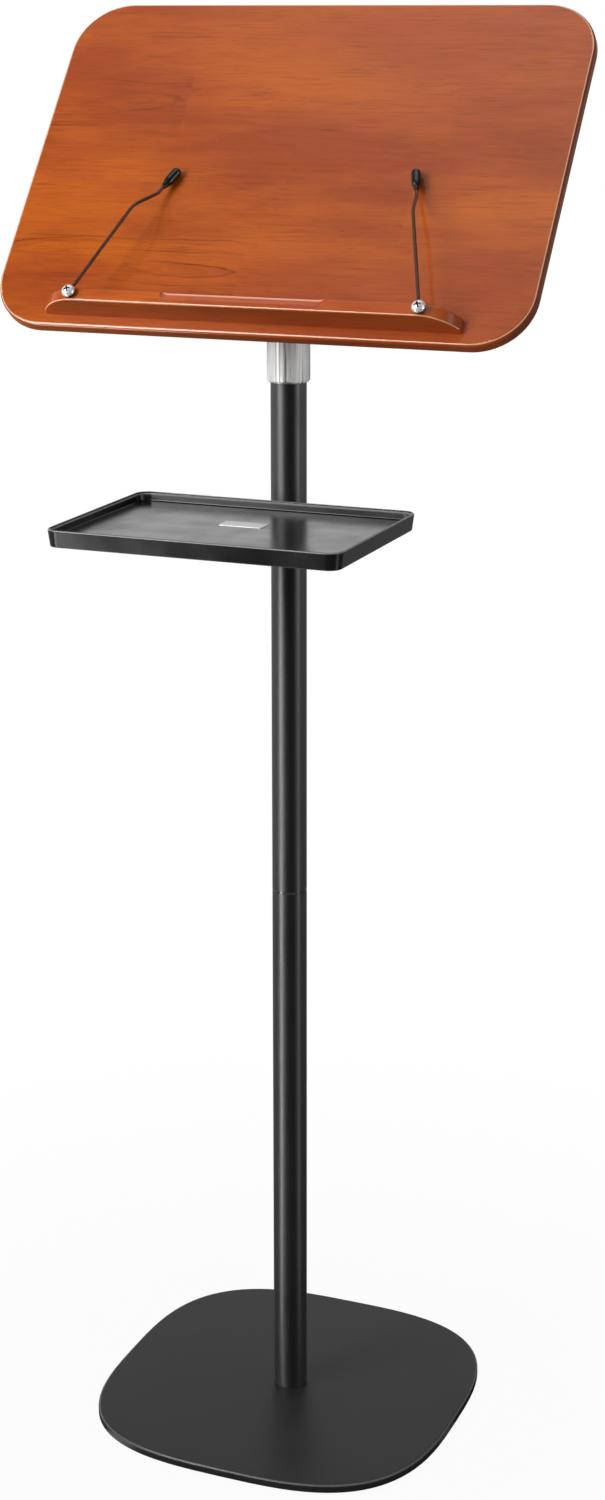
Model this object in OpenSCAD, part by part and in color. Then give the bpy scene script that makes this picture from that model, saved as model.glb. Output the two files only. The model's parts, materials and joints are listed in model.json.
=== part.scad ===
// Free-standing lectern: a flat weighted base, a two-piece pole, a telescopic mast,
// a tilting wooden desk with two page holders, and a tray clamped to the pole.
// The origin is on the pole axis at floor level. X is right, Y is back, Z is up.

/* [Base] */
// Width of the base plate across the middle of two opposite sides
base_w = 342; // [320:2:380]
// Squareness of the base plate's outline: 2 is a circle, more is squarer
base_squareness = 3.05; // [2.6:0.05:4]
// Thickness of the base plate
base_t = 8; // [8:0.5:12]
// Radius of the rounded top edge of the base plate
base_edge_r = 2.5; // [1:0.5:3.5]
// Chamfer round the lower edge of the base plate
base_chamfer = 0.8; // [0.4:0.1:1.5]
// Diameter of each rubber foot
foot_d = 26; // [24:1:34]
// Height that the rubber feet stand out below the plate
foot_proud = 2; // [1:0.5:4]
// Depth of the pocket that each rubber foot sits in
foot_seat = 1; // [0.5:0.5:2]
// Distance of each outer foot from the two centre lines of the base
foot_offset = 108; // [90:1:112]
// Diameter of the bolt that holds the pole to the base
base_bolt_d = 10; // [8:1:12]
// Diameter of the base bolt's head
base_bolt_head_d = 17; // [14:0.5:20]
// Height of the base bolt's low head
base_bolt_head_h = 3.2; // [2.4:0.2:3.6]
// Diameter of the washer under the base bolt's head
base_washer_d = 22; // [18:1:24]
// Thickness of the washer under the base bolt's head
base_washer_t = 1; // [0.8:0.1:1.4]

/* [Pole] */
// Outside diameter of the two pole tubes
pole_d = 32; // [30:1:36]
// Wall thickness of the pole tubes
pole_wall = 1.5; // [1.2:0.1:2]
// Length of the lower tube, from the base to the seam
lower_len = 510; // [420:10:600]
// Length of the upper tube, from the seam to the collar
upper_len = 480; // [440:10:560]
// Length of the metal plugs inside the tube ends
plug_len = 30; // [20:1:40]
// Diameter of the threaded stud that joins the two tubes
joint_stud_d = 16; // [12:1:18]
// Length of the threaded stud that joins the two tubes
joint_stud_len = 24; // [15:1:28]
// Width of the fine chamfer on each tube end
tube_chamfer = 0.4; // [0.2:0.1:0.6]

/* [Height lock] */
// Outside diameter of the knurled lock collar
collar_d = 38; // [36:0.5:44]
// Length of the knurled lock collar
collar_len = 55; // [50:1:65]
// Length of the collar's skirt that hides the top of the pole
collar_skirt = 10; // [6:1:14]
// Size of the chamfer at both ends of the collar
collar_chamfer = 1.6; // [0.8:0.2:2]
// Number of straight grooves cut round the collar
knurl_count = 72; // [48:4:84]
// Depth of the straight grooves cut round the collar
knurl_depth = 0.45; // [0.2:0.05:0.6]
// Height of the flange that the lock sleeve rests on the pole with
sleeve_flange_h = 2.5; // [1.5:0.5:4]
// Length of the lock sleeve's shank inside the pole
sleeve_shank = 25; // [15:1:35]
// Length of the lock sleeve's threaded spigot above its flange
sleeve_spigot = 28; // [24:1:30]
// Wall thickness of the lock sleeve's spigot
sleeve_wall = 1; // [0.8:0.1:1.2]
// Width of the slit in the collet
collet_slit = 1.6; // [1:0.2:3]
// Height of the collet's tapered nose above the sleeve
collet_nose = 7; // [5:0.5:9]

/* [Mast] */
// Outside diameter of the sliding mast
mast_d = 25; // [24:0.5:26]
// Wall thickness of the sliding mast
mast_wall = 1.2; // [1:0.1:1.6]
// Length of the sliding mast tube
mast_len = 430; // [380:10:460]
// Height of the tilt axis above the top of the collar
head_rise = 56.5; // [50:0.5:90]
// Length of the plastic glide round the foot of the mast
glide_len = 30; // [20:1:40]
// Thickness of the glide's lip below the mast tube
glide_lip = 3; // [2:0.5:4]

/* [Tilt head] */
// Width of the tilt head's barrel along its axis
barrel_w = 30; // [24:1:40]
// Diameter of the tilt head's barrel
barrel_d = 28; // [24:1:30]
// Height of the tilt axis above the mast's top end
head_h = 20.5; // [18:0.5:24]
// Diameter of the tilt bolt
tilt_bolt_d = 8; // [6:1:10]
// Thickness of the nylon washers beside the barrel
tilt_washer_t = 1.5; // [1:0.1:2.5]
// Thickness of the desk bracket's plate and ears
bracket_t = 3; // [2:0.5:4]
// Width of the desk bracket's plate
bracket_w = 100; // [90:2:130]
// Height of the desk bracket's plate
bracket_h = 80; // [70:2:110]
// Diameter of the tilt knob
tilt_knob_d = 34; // [28:1:40]
// Height of the tilt knob
tilt_knob_h = 16; // [12:1:22]

/* [Desk] */
// Width of the wooden board
desk_w = 490; // [440:5:560]
// Height of the wooden board along its slope
desk_h = 338; // [330:2:400]
// Thickness of the wooden board
desk_t = 12; // [12:0.5:18]
// Radius of the board's corners
desk_corner_r = 50; // [30:1:70]
// Radius of the board's rounded edges
desk_edge_r = 3; // [1:0.5:5]
// Tilt of the board from the horizontal at rest
desk_tilt = 52; // [30:1:70]
// Distance from the tilt axis to the back of the board
desk_standoff = 28; // [26:0.5:36]
// Distance along the slope from the tilt axis up to the board's middle
desk_lift = 62; // [50:1:80]

/* [Ledge] */
// Overall length of the book ledge
ledge_w = 376; // [340:2:400]
// Thickness of the book ledge
ledge_t = 12.5; // [12:0.5:16]
// How far the ledge stands out from the board
ledge_d = 25; // [22:0.5:32]
// Length of each rounded end of the ledge
ledge_end_run = 34; // [26:1:40]
// Radius of the ledge's rounded front edges
ledge_edge_r = 1.8; // [1:0.1:2.8]
// Depth that is left at the ledge's two rounded ends
ledge_end_d = 6; // [4:0.5:10]
// Distance from the board's lower edge to the underside of the ledge
ledge_up = 11; // [8:0.5:20]
// Length of the pen scoop in the middle of the ledge
scoop_len = 149; // [120:1:180]
// Depth of the pen scoop at the top of the ledge
scoop_depth = 3; // [2:0.5:4]
// Radius of the pen scoop's hollow
scoop_r = 14; // [10:1:20]

/* [Page holders] */
// Distance from each end of the ledge in to its page holder screw
arm_inset = 30; // [26:1:40]
// Diameter of the page holder wire
arm_wire_d = 3; // [2.4:0.1:3.4]
// Length of the straight part of each page holder
arm_straight = 96; // [80:1:110]
// Length of the stretch that steps in towards the board
arm_step = 26; // [22:1:34]
// Length of the stretch that lies along the board
arm_foot = 30; // [28:1:36]
// Radius of the two bends in each wire
arm_bend_r = 9; // [6:0.5:10]
// Lean of the left page holder towards the middle
left_lean_angle = 22; // [0:1:60]
// Lean of the right page holder towards the middle
right_lean_angle = 16; // [0:1:60]
// Diameter of each rubber tip
tip_d = 8.4; // [7:0.1:9]
// Diameter of the screws that the page holders turn on
arm_screw_d = 5; // [4:0.5:5]
// Diameter of the domed heads of the page holder screws
arm_head_d = 11.8; // [11.4:0.2:13]
// Height of the domed heads of the page holder screws
arm_head_h = 4.6; // [3:0.2:5.4]

/* [Tray] */
// Width of the tray over its rim
tray_w = 264; // [220:2:320]
// Depth of the tray over its rim
tray_d = 190; // [190:2:240]
// Height of the tray from its skirt to its rim
tray_h = 15; // [14:0.5:24]
// Depth of the tray from its rim down to its floor
tray_inner_h = 8; // [6:0.5:9]
// Wall thickness of the tray
tray_wall = 2.6; // [2:0.1:3]
// Thickness of the tray floor
tray_floor_t = 3; // [2.5:0.1:4]
// Radius of the tray's corners at the rim
tray_corner_r = 13; // [10:0.5:20]
// How far the tray's walls lean in from the rim to the skirt
tray_draft = 2; // [1:0.1:3]
// Clear distance from the pole to the tray's back rim
tray_gap = 12; // [9.5:0.5:20]
// Height of the tray rim above the floor that the lectern stands on
tray_rim_z = 889; // [600:1:900]
// Width of the bare plate on the tray floor
badge_w = 40; // [30:1:60]
// Depth of the bare plate on the tray floor
badge_d = 18; // [12:1:24]
// Thickness of the bare plate on the tray floor
badge_t = 0.8; // [0.6:0.1:1.2]
// Height of the tray clamp's ring
clamp_h = 38; // [30:1:44]
// Wall thickness of the tray clamp's ring
clamp_wall = 5; // [4:0.5:6]
// Wall thickness of the split liner between the pole and the clamp
liner_wall = 2; // [1.5:0.1:3]
// Width of the tray clamp's arm
tray_arm_w = 56; // [48:2:70]
// Reach of the tray clamp's arm from the pole axis
tray_arm_len = 166; // [130:2:180]
// Thickness of the tray clamp's arm
tray_arm_t = 4; // [3:0.5:5]
// Diameter of the tray knob
tray_knob_d = 28; // [24:1:32]
// Height of the tray knob
tray_knob_h = 15; // [12:1:20]
// Diameter of the tray knob's threaded stud
tray_stud_d = 8; // [6:1:10]

/* [Fits] */
// Radial clearance of parts that run or fit inside each other
fit = 0.05; // [0.02:0.01:0.1]
// Clearance between moving parts that stay apart
gap = 0.3; // [0.2:0.05:0.5]

/* [Hidden] */
$fn = 96;

// Colours as they show on the finished lectern
black_powder = [0.09, 0.09, 0.095];
black_plastic = [0.07, 0.07, 0.075];
bright_metal = [0.78, 0.78, 0.79];
zinc = [0.66, 0.67, 0.69];
brass = [0.78, 0.62, 0.3];
rubber = [0.05, 0.05, 0.05];
cherry = [0.69, 0.33, 0.12];
nylon = [0.86, 0.86, 0.83];

// Overlap of joined solids and overshoot of cuts, so that no faces coincide
eps = 0.01;
cut = 1;
// Points round the base plate's outline
outline_points = 96;
// A wire's straights are this much slimmer than its bends, and run into them
bend_swell = 0.02;
bend_lap = 0.1;

// Heights along the pole, from the floor up
plate_z = foot_proud;
plate_top = plate_z + base_t;
seam_z = plate_top + lower_len;
pole_top = seam_z + upper_len;
collar_z = pole_top - collar_skirt;
collar_top = collar_z + collar_len;
pivot_z = collar_top + head_rise;
mast_top = pivot_z - head_h;
mast_foot = mast_top - mast_len;

// Radii along the pole
pole_r = pole_d / 2;
bore_r = pole_r - pole_wall;
mast_r = mast_d / 2;
mast_bore_r = mast_r - mast_wall;

// Base bolt, from below: middle foot, head, washer, plate and the thread in the foot plug
seat_z = plate_z + foot_seat;
washer_top = seat_z + gap + base_bolt_head_h + base_washer_t;
head_top = washer_top - base_washer_t;
bolt_socket_r = 4.6;
bolt_socket_depth = 2;
// How far bolts and spigots reach into a plug or a tube
plug_bite = 21;
plug_hole_spare = 3;

// Foot of the mast
plug_neck_r = 9;
plug_head_h = 4;
glide_top = mast_foot - glide_lip + glide_len;

// Height lock
flange_top = pole_top + sleeve_flange_h;
spigot_top = flange_top + sleeve_spigot;
collet_floor = 3;
collet_z = flange_top + collet_floor;
collet_wall = 1.4;
collet_r = mast_r + fit + collet_wall;
spigot_r = collet_r + fit + sleeve_wall;
nose_taper = 0.75;
nose_top = spigot_top + collet_nose;
// Radius of each knurling groove as a share of its depth
groove_share = 1.3;

// Tilt head and bracket, measured from the tilt axis
washer_gap = 0.2;
ear_in = barrel_w / 2 + washer_gap + tilt_washer_t;
ear_out = ear_in + bracket_t;
ear_r = barrel_d / 2;
ear_foot = 25;
ear_foot_h = 5;
web_z = desk_standoff - bracket_t;
head_flange_h = 4;
head_flange_lip = 1;
head_flange_r = mast_r + head_flange_lip;
head_neck_w = 22.4;
tilt_washer_in = 1;
tilt_washer_r = barrel_d / 2 - tilt_washer_in;
hole_clear = 0.2;
neck_w = tilt_bolt_d;
knob_seat = ear_out + tilt_washer_t;
knob_hub_h = 3;
nut_wall = 2.4;
nut_r = tilt_bolt_d / 2 + nut_wall;
knob_hub_wall = 3;
knob_hub_r = nut_r + knob_hub_wall;
knob_cap_lap = 1;
knob_cap_r = nut_r + knob_cap_lap;
knob_cap_t = 2;
tilt_bolt_head_d = 17.6;
tilt_bolt_head_h = 4;
tilt_bolt_bite = 14;
bracket_screw_d = 4.4;
bracket_screw_head_d = 9;
bracket_screw_head_h = 2.8;
bracket_screw_bite = 8;
bracket_hole_in = 10;
bracket_corner_r = 8;

// Hand knobs: lobes, bevel, and the finger hollows as shares of the knob's radius
knob_lobes = 6;
knob_edge = 2;
knob_hollow = 0.32;
knob_hollow_out = 1.16;

// Desk, measured from the tilt axis
front_z = desk_standoff + desk_t;
ledge_low = desk_lift - desk_h / 2 + ledge_up;
ledge_mid = ledge_low + ledge_t / 2;
ledge_high = ledge_low + ledge_t;
ledge_front = front_z + ledge_d;
ledge_flat = ledge_w - 2 * ledge_end_run;
end_drop = ledge_d - ledge_end_d;
end_r = (ledge_end_run * ledge_end_run + end_drop * end_drop) / (2 * end_drop);
scoop_end_r = scoop_r - scoop_depth;
scoop_end_lost = scoop_end_r * (1 - cos(asin(1 - scoop_depth / scoop_end_r)));
scoop_bar_len = scoop_len + 2 * scoop_end_lost;
ledge_screw_x = 110;
ledge_screw_d = 4;
ledge_screw_head_d = 8;
ledge_screw_head_h = 3;
ledge_screw_bite = 15;
scoop_drop = 1.5;
insert_wall = 1.2;
insert_len = 10;
insert_sink = 0.6;
arm_screw_r = arm_screw_d / 2;
wire_r = arm_wire_d / 2;
eye_r = arm_screw_r + fit + wire_r;
arm_screw_up = 0.5;
arm_screw_y = ledge_mid + arm_screw_up;
arm_h = ledge_d + gap + wire_r;
tip_r = tip_d / 2;
tip_clear = 0.4;
tip_h = tip_r + tip_clear;
tip_root_h = 9;
tip_neck_wall = 0.8;
tip_neck_r = wire_r + tip_neck_wall;
tip_taper = 9;
tip_root_in = 7.5;
tip_wire_in = 14.4;
recess_w = 1.3;
recess_len = 6.4;
recess_depth = 1.8;
recess_turn = 20;

// Path of a page holder wire: distance from the screw, height above the board
arm_path = [
    [eye_r, arm_h],
    [arm_straight, arm_h],
    [arm_straight + arm_step, tip_root_h],
    [arm_straight + arm_step + arm_foot, tip_h]
];
foot_dir = unit(arm_path[3] - arm_path[2]);
tip_root = arm_path[2] + foot_dir * tip_root_in;

// Tray
tray_y = -(pole_r + tray_gap + tray_d / 2);
tray_z = tray_rim_z - tray_h;
tray_floor_top = tray_rim_z - tray_inner_h;
tray_floor_z = tray_floor_top - tray_floor_t;
rim_step = 1.1;
rim_step_h = 2.4;
badge_back = 22;
badge_y = tray_y + badge_back;
badge_sink = 0.4;
badge_corner_r = 1.5;
liner_r = pole_r + fit + liner_wall;
clamp_bore_r = liner_r + fit;
clamp_r = clamp_bore_r + clamp_wall;
clamp_lap = 4;
clamp_top = tray_z + clamp_lap;
clamp_z = clamp_top - clamp_h;
liner_flange_h = 2;
liner_flange_in = 1.5;
liner_flange_r = clamp_r - liner_flange_in;
liner_slit = 2;
arm_top = tray_z;
arm_z = arm_top - tray_arm_t;
arm_nose_r = 16.8;
arm_root_in = 6;
arm_root = clamp_r - arm_root_in;
boss_r = 6;
tray_screw_d = 4;
tray_screw_head_d = 8;
tray_screw_head_h = 2.4;
tray_screw_bite = 5;
tray_screw_in = 8;
tray_screw_x = tray_arm_w / 2 - tray_screw_in;
tray_screw_back = 60;
tray_screw_end = 18;
tray_screw_front = tray_arm_len - tray_screw_end;
knob_drop = 2;
knob_z = clamp_z + clamp_h / 2 - knob_drop;
knob_boss_r = 9;
knob_boss_len = 11;
knob_boss_out = clamp_r + knob_boss_len;
rib_t = 4;
rib_out = 12;
rib_h = 15;
rib_end_h = 3;
rib_root = clamp_r / 2;
rib_end = 33.2;
rib_tip = tray_arm_len - rib_end;
stud_sink = 2;

function unit(v) = v / norm(v);
function heading(v) = atan2(v[1], v[0]);
function turn_between(a, b) = atan2(a[0] * b[1] - a[1] * b[0], a[0] * b[0] + a[1] * b[1]);

// Places its children in the desk's own frame: origin on the tilt axis, X along
// the axis, Y up the slope, Z straight out of the front of the board.
module desk_frame() {
    translate([0, 0, pivot_z]) rotate([desk_tilt, 0, 0]) children();
}

// Turns a cylinder's axis from Z to X
module along_x() {
    rotate([0, 90, 0]) children();
}

// Tube with fine chamfers on the outer corners of both ends
module chamfered_tube(r, wall, len) {
    rotate_extrude()
        polygon([
            [r - wall, 0], [r - tube_chamfer, 0], [r, tube_chamfer],
            [r, len - tube_chamfer], [r - tube_chamfer, len], [r - wall, len]
        ]);
}

// Sweeps a profile round a rectangle with rounded corners. The profile's X is the
// distance out from the corner centre and its Y is the height.
module sweep_round_rect(w, d, r) {
    half_w = w / 2 - r;
    half_d = d / 2 - r;
    for (k = [[1, 1, 0], [-1, 1, 90], [-1, -1, 180], [1, -1, 270]])
        translate([k[0] * half_w, k[1] * half_d, 0])
            rotate([0, 0, k[2]])
                rotate_extrude(angle = 90) children();
    for (a = [0, 180])
        rotate([0, 0, a])
            translate([half_w, half_d, 0])
                rotate([90, 0, 0])
                    linear_extrude(2 * half_d) children();
    for (a = [90, 270])
        rotate([0, 0, a])
            translate([half_d, half_w, 0])
                rotate([90, 0, 0])
                    linear_extrude(2 * half_w) children();
}

// Flat shape of a rectangle with rounded corners
module round_rect(w, d, r) {
    square([w - 2 * r, d], center = true);
    square([w, d - 2 * r], center = true);
    for (x = [-1, 1])
        for (y = [-1, 1])
            translate([x * (w / 2 - r), y * (d / 2 - r)]) circle(r);
}

// Half section of a slab with its top edge rounded
module rounded_edge(r, h, edge) {
    square([r, h - edge]);
    square([r - edge, h]);
    translate([r - edge, h - edge]) circle(edge);
}

// Half section of a slab with both edges rounded
module two_rounded_edges(r, h, edge) {
    square([r - edge, h]);
    translate([0, edge]) square([r, h - 2 * edge]);
    for (y = [edge, h - edge])
        translate([r - edge, y]) circle(edge);
}

// Outline of a square with bowed sides and soft corners: a superellipse
function bowed_square(w, squareness, z) = [
    for (i = [0 : outline_points - 1])
        let (t = 360 * i / outline_points, c = cos(t), s = sin(t))
            [
                w / 2 * sign(c) * pow(abs(c), 2 / squareness),
                w / 2 * sign(s) * pow(abs(s), 2 / squareness),
                z
            ]
];

// Solid through a stack of outlines that all have the same number of points
module stacked_outlines(rings) {
    n = len(rings[0]);
    top = (len(rings) - 1) * n;
    polyhedron(
        points = [for (ring = rings) each ring],
        faces = concat(
            [[for (i = [0 : n - 1]) i]],
            [[for (i = [n - 1 : -1 : 0]) top + i]],
            [
                for (k = [0 : len(rings) - 2])
                    for (i = [0 : n - 1])
                        let (a = k * n + i, b = k * n + (i + 1) % n)
                            each [[a, a + n, b + n], [a, b + n, b]]
            ]
        )
    );
}

// Plate with bowed sides, a rounded top edge and a small chamfer below
module bowed_square_plate(w, squareness, h, edge, chamfer) {
    sides = [[chamfer, 0], [0, chamfer], [0, h - edge]];
    round = [for (a = [22.5 : 22.5 : 90]) [edge * (1 - cos(a)), h - edge + edge * sin(a)]];
    stacked_outlines([for (q = concat(sides, round)) bowed_square(w - 2 * q[0], squareness, q[1])]);
}

// Round rod through the points of a flat path, with a round bend at each corner
module bent_wire(path, r, bend_r) {
    last = len(path) - 1;
    setbacks = [
        for (i = [0 : last])
            i == 0 || i == last ? 0 :
                bend_r * tan(abs(turn_between(path[i] - path[i - 1], path[i + 1] - path[i])) / 2)
    ];
    for (i = [0 : last - 1]) {
        along = unit(path[i + 1] - path[i]);
        start = path[i] + along * (i == 0 ? 0 : setbacks[i] - bend_lap);
        stop = path[i + 1] - along * (i == last - 1 ? 0 : setbacks[i + 1] - bend_lap);
        translate([start[0], start[1], 0])
            rotate([0, 0, heading(along)])
                along_x() cylinder(h = norm(stop - start), r = r - bend_swell, $fn = 32);
    }
    for (i = [1 : last - 1]) {
        before = unit(path[i] - path[i - 1]);
        turn = turn_between(before, path[i + 1] - path[i]);
        side = turn > 0 ? 1 : -1;
        inward = [-before[1], before[0]] * side;
        centre = path[i] - before * setbacks[i] + inward * bend_r;
        from = turn > 0 ? heading(-inward) : heading(-inward) + turn;
        translate([centre[0], centre[1], 0])
            rotate([0, 0, from])
                rotate_extrude(angle = abs(turn))
                    translate([bend_r, 0]) circle(r, $fn = 32);
    }
}

// Hand knob with finger hollows, its base on Z = 0 and its bore on the Z axis
module lobed_knob(d, h, bore_r) {
    r = d / 2;
    edge = knob_edge;
    difference() {
        intersection() {
            linear_extrude(h)
                difference() {
                    circle(r);
                    for (i = [0 : knob_lobes - 1])
                        rotate(i * 360 / knob_lobes)
                            translate([r * knob_hollow_out, 0]) circle(r * knob_hollow);
                }
            rotate_extrude()
                polygon([[0, 0], [r - edge, 0], [r, edge], [r, h - edge], [r - edge, h], [0, h]]);
        }
        translate([0, 0, -cut]) cylinder(h = h + 2 * cut, r = bore_r);
    }
}

// Screw with a domed head above Z = 0 and its shank below
module domed_screw(shank_d, shank_len, head_d, head_h) {
    dome_r = (head_d * head_d / 4 + head_h * head_h) / (2 * head_h);
    intersection() {
        translate([0, 0, head_h - dome_r]) sphere(dome_r);
        cylinder(h = head_h + cut, r = head_d / 2);
    }
    translate([0, 0, -shank_len]) cylinder(h = shank_len + eps, r = shank_d / 2);
}

// Flat steel plate with pockets for the feet and a counterbore for the bolt
module base_plate() {
    color(black_powder)
        difference() {
            translate([0, 0, plate_z])
                bowed_square_plate(base_w, base_squareness, base_t, base_edge_r, base_chamfer);
            foot_places()
                translate([0, 0, plate_z - cut])
                    cylinder(h = foot_seat + cut, r = foot_d / 2 + fit);
            translate([0, 0, seat_z - cut])
                cylinder(h = washer_top - seat_z + cut, r = base_washer_d / 2 + gap);
            cylinder(h = plate_top + cut, r = base_bolt_d / 2 + hole_clear);
        }
}

// Places its children at the four outer feet and at the middle one, which hides the bolt
module foot_places() {
    children();
    for (x = [-1, 1])
        for (y = [-1, 1])
            translate([x * foot_offset, y * foot_offset, 0]) children();
}

module base_feet() {
    color(rubber)
        foot_places() cylinder(h = foot_proud + foot_seat, r = foot_d / 2);
}

// Hexagon socket bolt; its head and washer sit in a counterbore above the middle foot
module base_bolt() {
    color(zinc)
        difference() {
            union() {
                translate([0, 0, head_top - base_bolt_head_h])
                    cylinder(h = base_bolt_head_h, r = base_bolt_head_d / 2);
                translate([0, 0, head_top - eps])
                    cylinder(h = plate_top + plug_bite - head_top, r = base_bolt_d / 2);
            }
            translate([0, 0, head_top - base_bolt_head_h - cut])
                cylinder(h = bolt_socket_depth + cut, r = bolt_socket_r, $fn = 6);
        }
}

module base_washer() {
    color(zinc)
        translate([0, 0, washer_top - base_washer_t])
            difference() {
                cylinder(h = base_washer_t, r = base_washer_d / 2);
                translate([0, 0, -cut])
                    cylinder(h = base_washer_t + 2 * cut, r = base_bolt_d / 2 + hole_clear);
            }
}

// Plug pressed into a tube end, with a blind threaded hole from below
module foot_plug() {
    color(zinc)
        translate([0, 0, plate_top])
            difference() {
                cylinder(h = plug_len, r = bore_r - fit);
                translate([0, 0, -cut])
                    cylinder(h = plug_bite + plug_hole_spare + cut, r = base_bolt_d / 2 + fit);
            }
}

module lower_tube() {
    color(black_powder)
        translate([0, 0, plate_top]) chamfered_tube(pole_r, pole_wall, lower_len);
}

module joiner_socket() {
    color(zinc)
        translate([0, 0, seam_z - plug_len])
            difference() {
                cylinder(h = plug_len, r = bore_r - fit);
                translate([0, 0, plug_len - joint_stud_len - gap])
                    cylinder(h = joint_stud_len + gap + cut, r = joint_stud_d / 2 + fit);
            }
}

module joiner_stud() {
    color(zinc)
        translate([0, 0, seam_z]) {
            cylinder(h = plug_len, r = bore_r - fit);
            translate([0, 0, -joint_stud_len])
                cylinder(h = joint_stud_len + eps, r = joint_stud_d / 2);
        }
}

module upper_tube() {
    color(black_powder)
        translate([0, 0, seam_z]) chamfered_tube(pole_r, pole_wall, upper_len);
}

// Sleeve in the pole's mouth: shank in the tube, flange on its end, threaded spigot
module lock_sleeve() {
    color(zinc)
        rotate_extrude()
            polygon([
                [mast_r + gap, pole_top - sleeve_shank],
                [bore_r - fit, pole_top - sleeve_shank],
                [bore_r - fit, pole_top],
                [pole_r, pole_top],
                [pole_r, flange_top],
                [spigot_r, flange_top],
                [spigot_r, spigot_top],
                [collet_r + fit, spigot_top],
                [collet_r + fit, collet_z],
                [mast_r + gap, collet_z]
            ]);
}

// Split plastic collet that the collar squeezes on the mast
module lock_collet() {
    color(nylon)
        difference() {
            rotate_extrude()
                polygon([
                    [mast_r + fit, collet_z],
                    [collet_r, collet_z],
                    [collet_r, spigot_top],
                    [collet_r - nose_taper, nose_top],
                    [mast_r + fit, nose_top]
                ]);
            translate([0, -collet_slit / 2, collet_z - cut])
                cube([pole_d, collet_slit, nose_top - collet_z + 2 * cut]);
        }
}

// Bright collar with straight knurling that screws down on the collet
module lock_collar() {
    r = collar_d / 2;
    low = collar_z + collar_chamfer;
    high = collar_top - collar_chamfer;
    groove_r = knurl_depth * groove_share;
    color(bright_metal)
        difference() {
            union() {
                rotate_extrude()
                    polygon([
                        [0, collar_z], [r - collar_chamfer, collar_z], [r - knurl_depth, low], [0, low]
                    ]);
                translate([0, 0, low])
                    linear_extrude(high - low)
                        difference() {
                            circle(r, $fn = 288);
                            for (i = [0 : knurl_count - 1])
                                rotate(i * 360 / knurl_count)
                                    translate([r + groove_r - knurl_depth, 0]) circle(groove_r, $fn = 16);
                        }
                rotate_extrude()
                    polygon([
                        [0, high], [r - knurl_depth, high], [r - collar_chamfer, collar_top], [0, collar_top]
                    ]);
            }
            rotate_extrude()
                polygon([
                    [0, collar_z - cut],
                    [pole_r + gap, collar_z - cut],
                    [pole_r + gap, flange_top + gap],
                    [spigot_r + fit, flange_top + gap],
                    [spigot_r + fit, spigot_top + gap],
                    [collet_r + gap, spigot_top + gap],
                    [collet_r - nose_taper + gap, nose_top + gap],
                    [mast_r + gap, nose_top + gap],
                    [mast_r + gap, collar_top + cut],
                    [0, collar_top + cut]
                ]);
        }
}

// Glide ring: its lip is held between the mast's end and the head of the mast plug
module mast_glide() {
    color(nylon)
        rotate_extrude()
            polygon([
                [plug_neck_r + fit, mast_foot - glide_lip],
                [bore_r - fit, mast_foot - glide_lip],
                [bore_r - fit, glide_top],
                [mast_r + fit, glide_top],
                [mast_r + fit, mast_foot - washer_gap],
                [plug_neck_r + fit, mast_foot - washer_gap]
            ]);
}

module mast_plug() {
    head_z = mast_foot - glide_lip - washer_gap;
    color(black_plastic)
        rotate_extrude()
            polygon([
                [0, head_z - plug_head_h],
                [mast_r, head_z - plug_head_h],
                [mast_r, head_z],
                [plug_neck_r, head_z],
                [plug_neck_r, mast_foot],
                [mast_bore_r - fit, mast_foot],
                [mast_bore_r - fit, mast_foot + plug_bite],
                [0, mast_foot + plug_bite]
            ]);
}

module mast_tube() {
    color(bright_metal)
        translate([0, 0, mast_foot]) chamfered_tube(mast_r, mast_wall, mast_len);
}

// Cast head: spigot in the mast, collar on its end, neck and cross barrel
module tilt_head() {
    color(black_powder)
        translate([0, 0, pivot_z])
            difference() {
                union() {
                    translate([0, 0, -head_h - plug_bite])
                        cylinder(h = plug_bite + eps, r = mast_bore_r - fit);
                    translate([0, 0, -head_h]) cylinder(h = head_flange_h, r = head_flange_r);
                    translate([-barrel_w / 2, -head_neck_w / 2, -head_h + head_flange_h - cut])
                        cube([barrel_w, head_neck_w, head_h - head_flange_h + cut]);
                    translate([-barrel_w / 2, 0, 0])
                        along_x() cylinder(h = barrel_w, r = barrel_d / 2);
                }
                translate([-barrel_w / 2 - cut, 0, 0])
                    along_x() cylinder(h = barrel_w + 2 * cut, r = tilt_bolt_d / 2 + fit);
            }
}

// Places one child at each of the four screws of the desk bracket
module bracket_screw_places() {
    for (x = [-1, 1])
        for (y = [-1, 1])
            translate([x * (bracket_w / 2 - bracket_hole_in), y * (bracket_h / 2 - bracket_hole_in), 0])
                children();
}

// Outline of one ear, from the round boss on the axis to its wide foot
module ear_shape() {
    circle(ear_r);
    polygon([
        [-ear_r, 0], [ear_r, 0], [ear_foot, web_z - ear_foot_h], [ear_foot, web_z + eps],
        [-ear_foot, web_z + eps], [-ear_foot, web_z - ear_foot_h]
    ]);
}

// Steel bracket: a plate on the back of the board with two ears for the tilt bolt
module desk_bracket() {
    color(black_powder)
        desk_frame()
            difference() {
                union() {
                    translate([0, 0, web_z])
                        linear_extrude(bracket_t) round_rect(bracket_w, bracket_h, bracket_corner_r);
                    for (x = [-ear_out, ear_in])
                        translate([x, 0, 0])
                            rotate([90, 0, 90]) linear_extrude(bracket_t) ear_shape();
                }
                bracket_screw_places()
                    translate([0, 0, web_z - cut])
                        cylinder(h = bracket_t + 2 * cut, r = bracket_screw_d / 2 + hole_clear);
                along_x() cylinder(h = ear_out + cut, r = tilt_bolt_d / 2 + hole_clear);
                translate([-ear_out - cut, -neck_w / 2 - fit, -neck_w / 2 - fit])
                    cube([bracket_t + 2 * cut, neck_w + 2 * fit, neck_w + 2 * fit]);
            }
}

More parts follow.
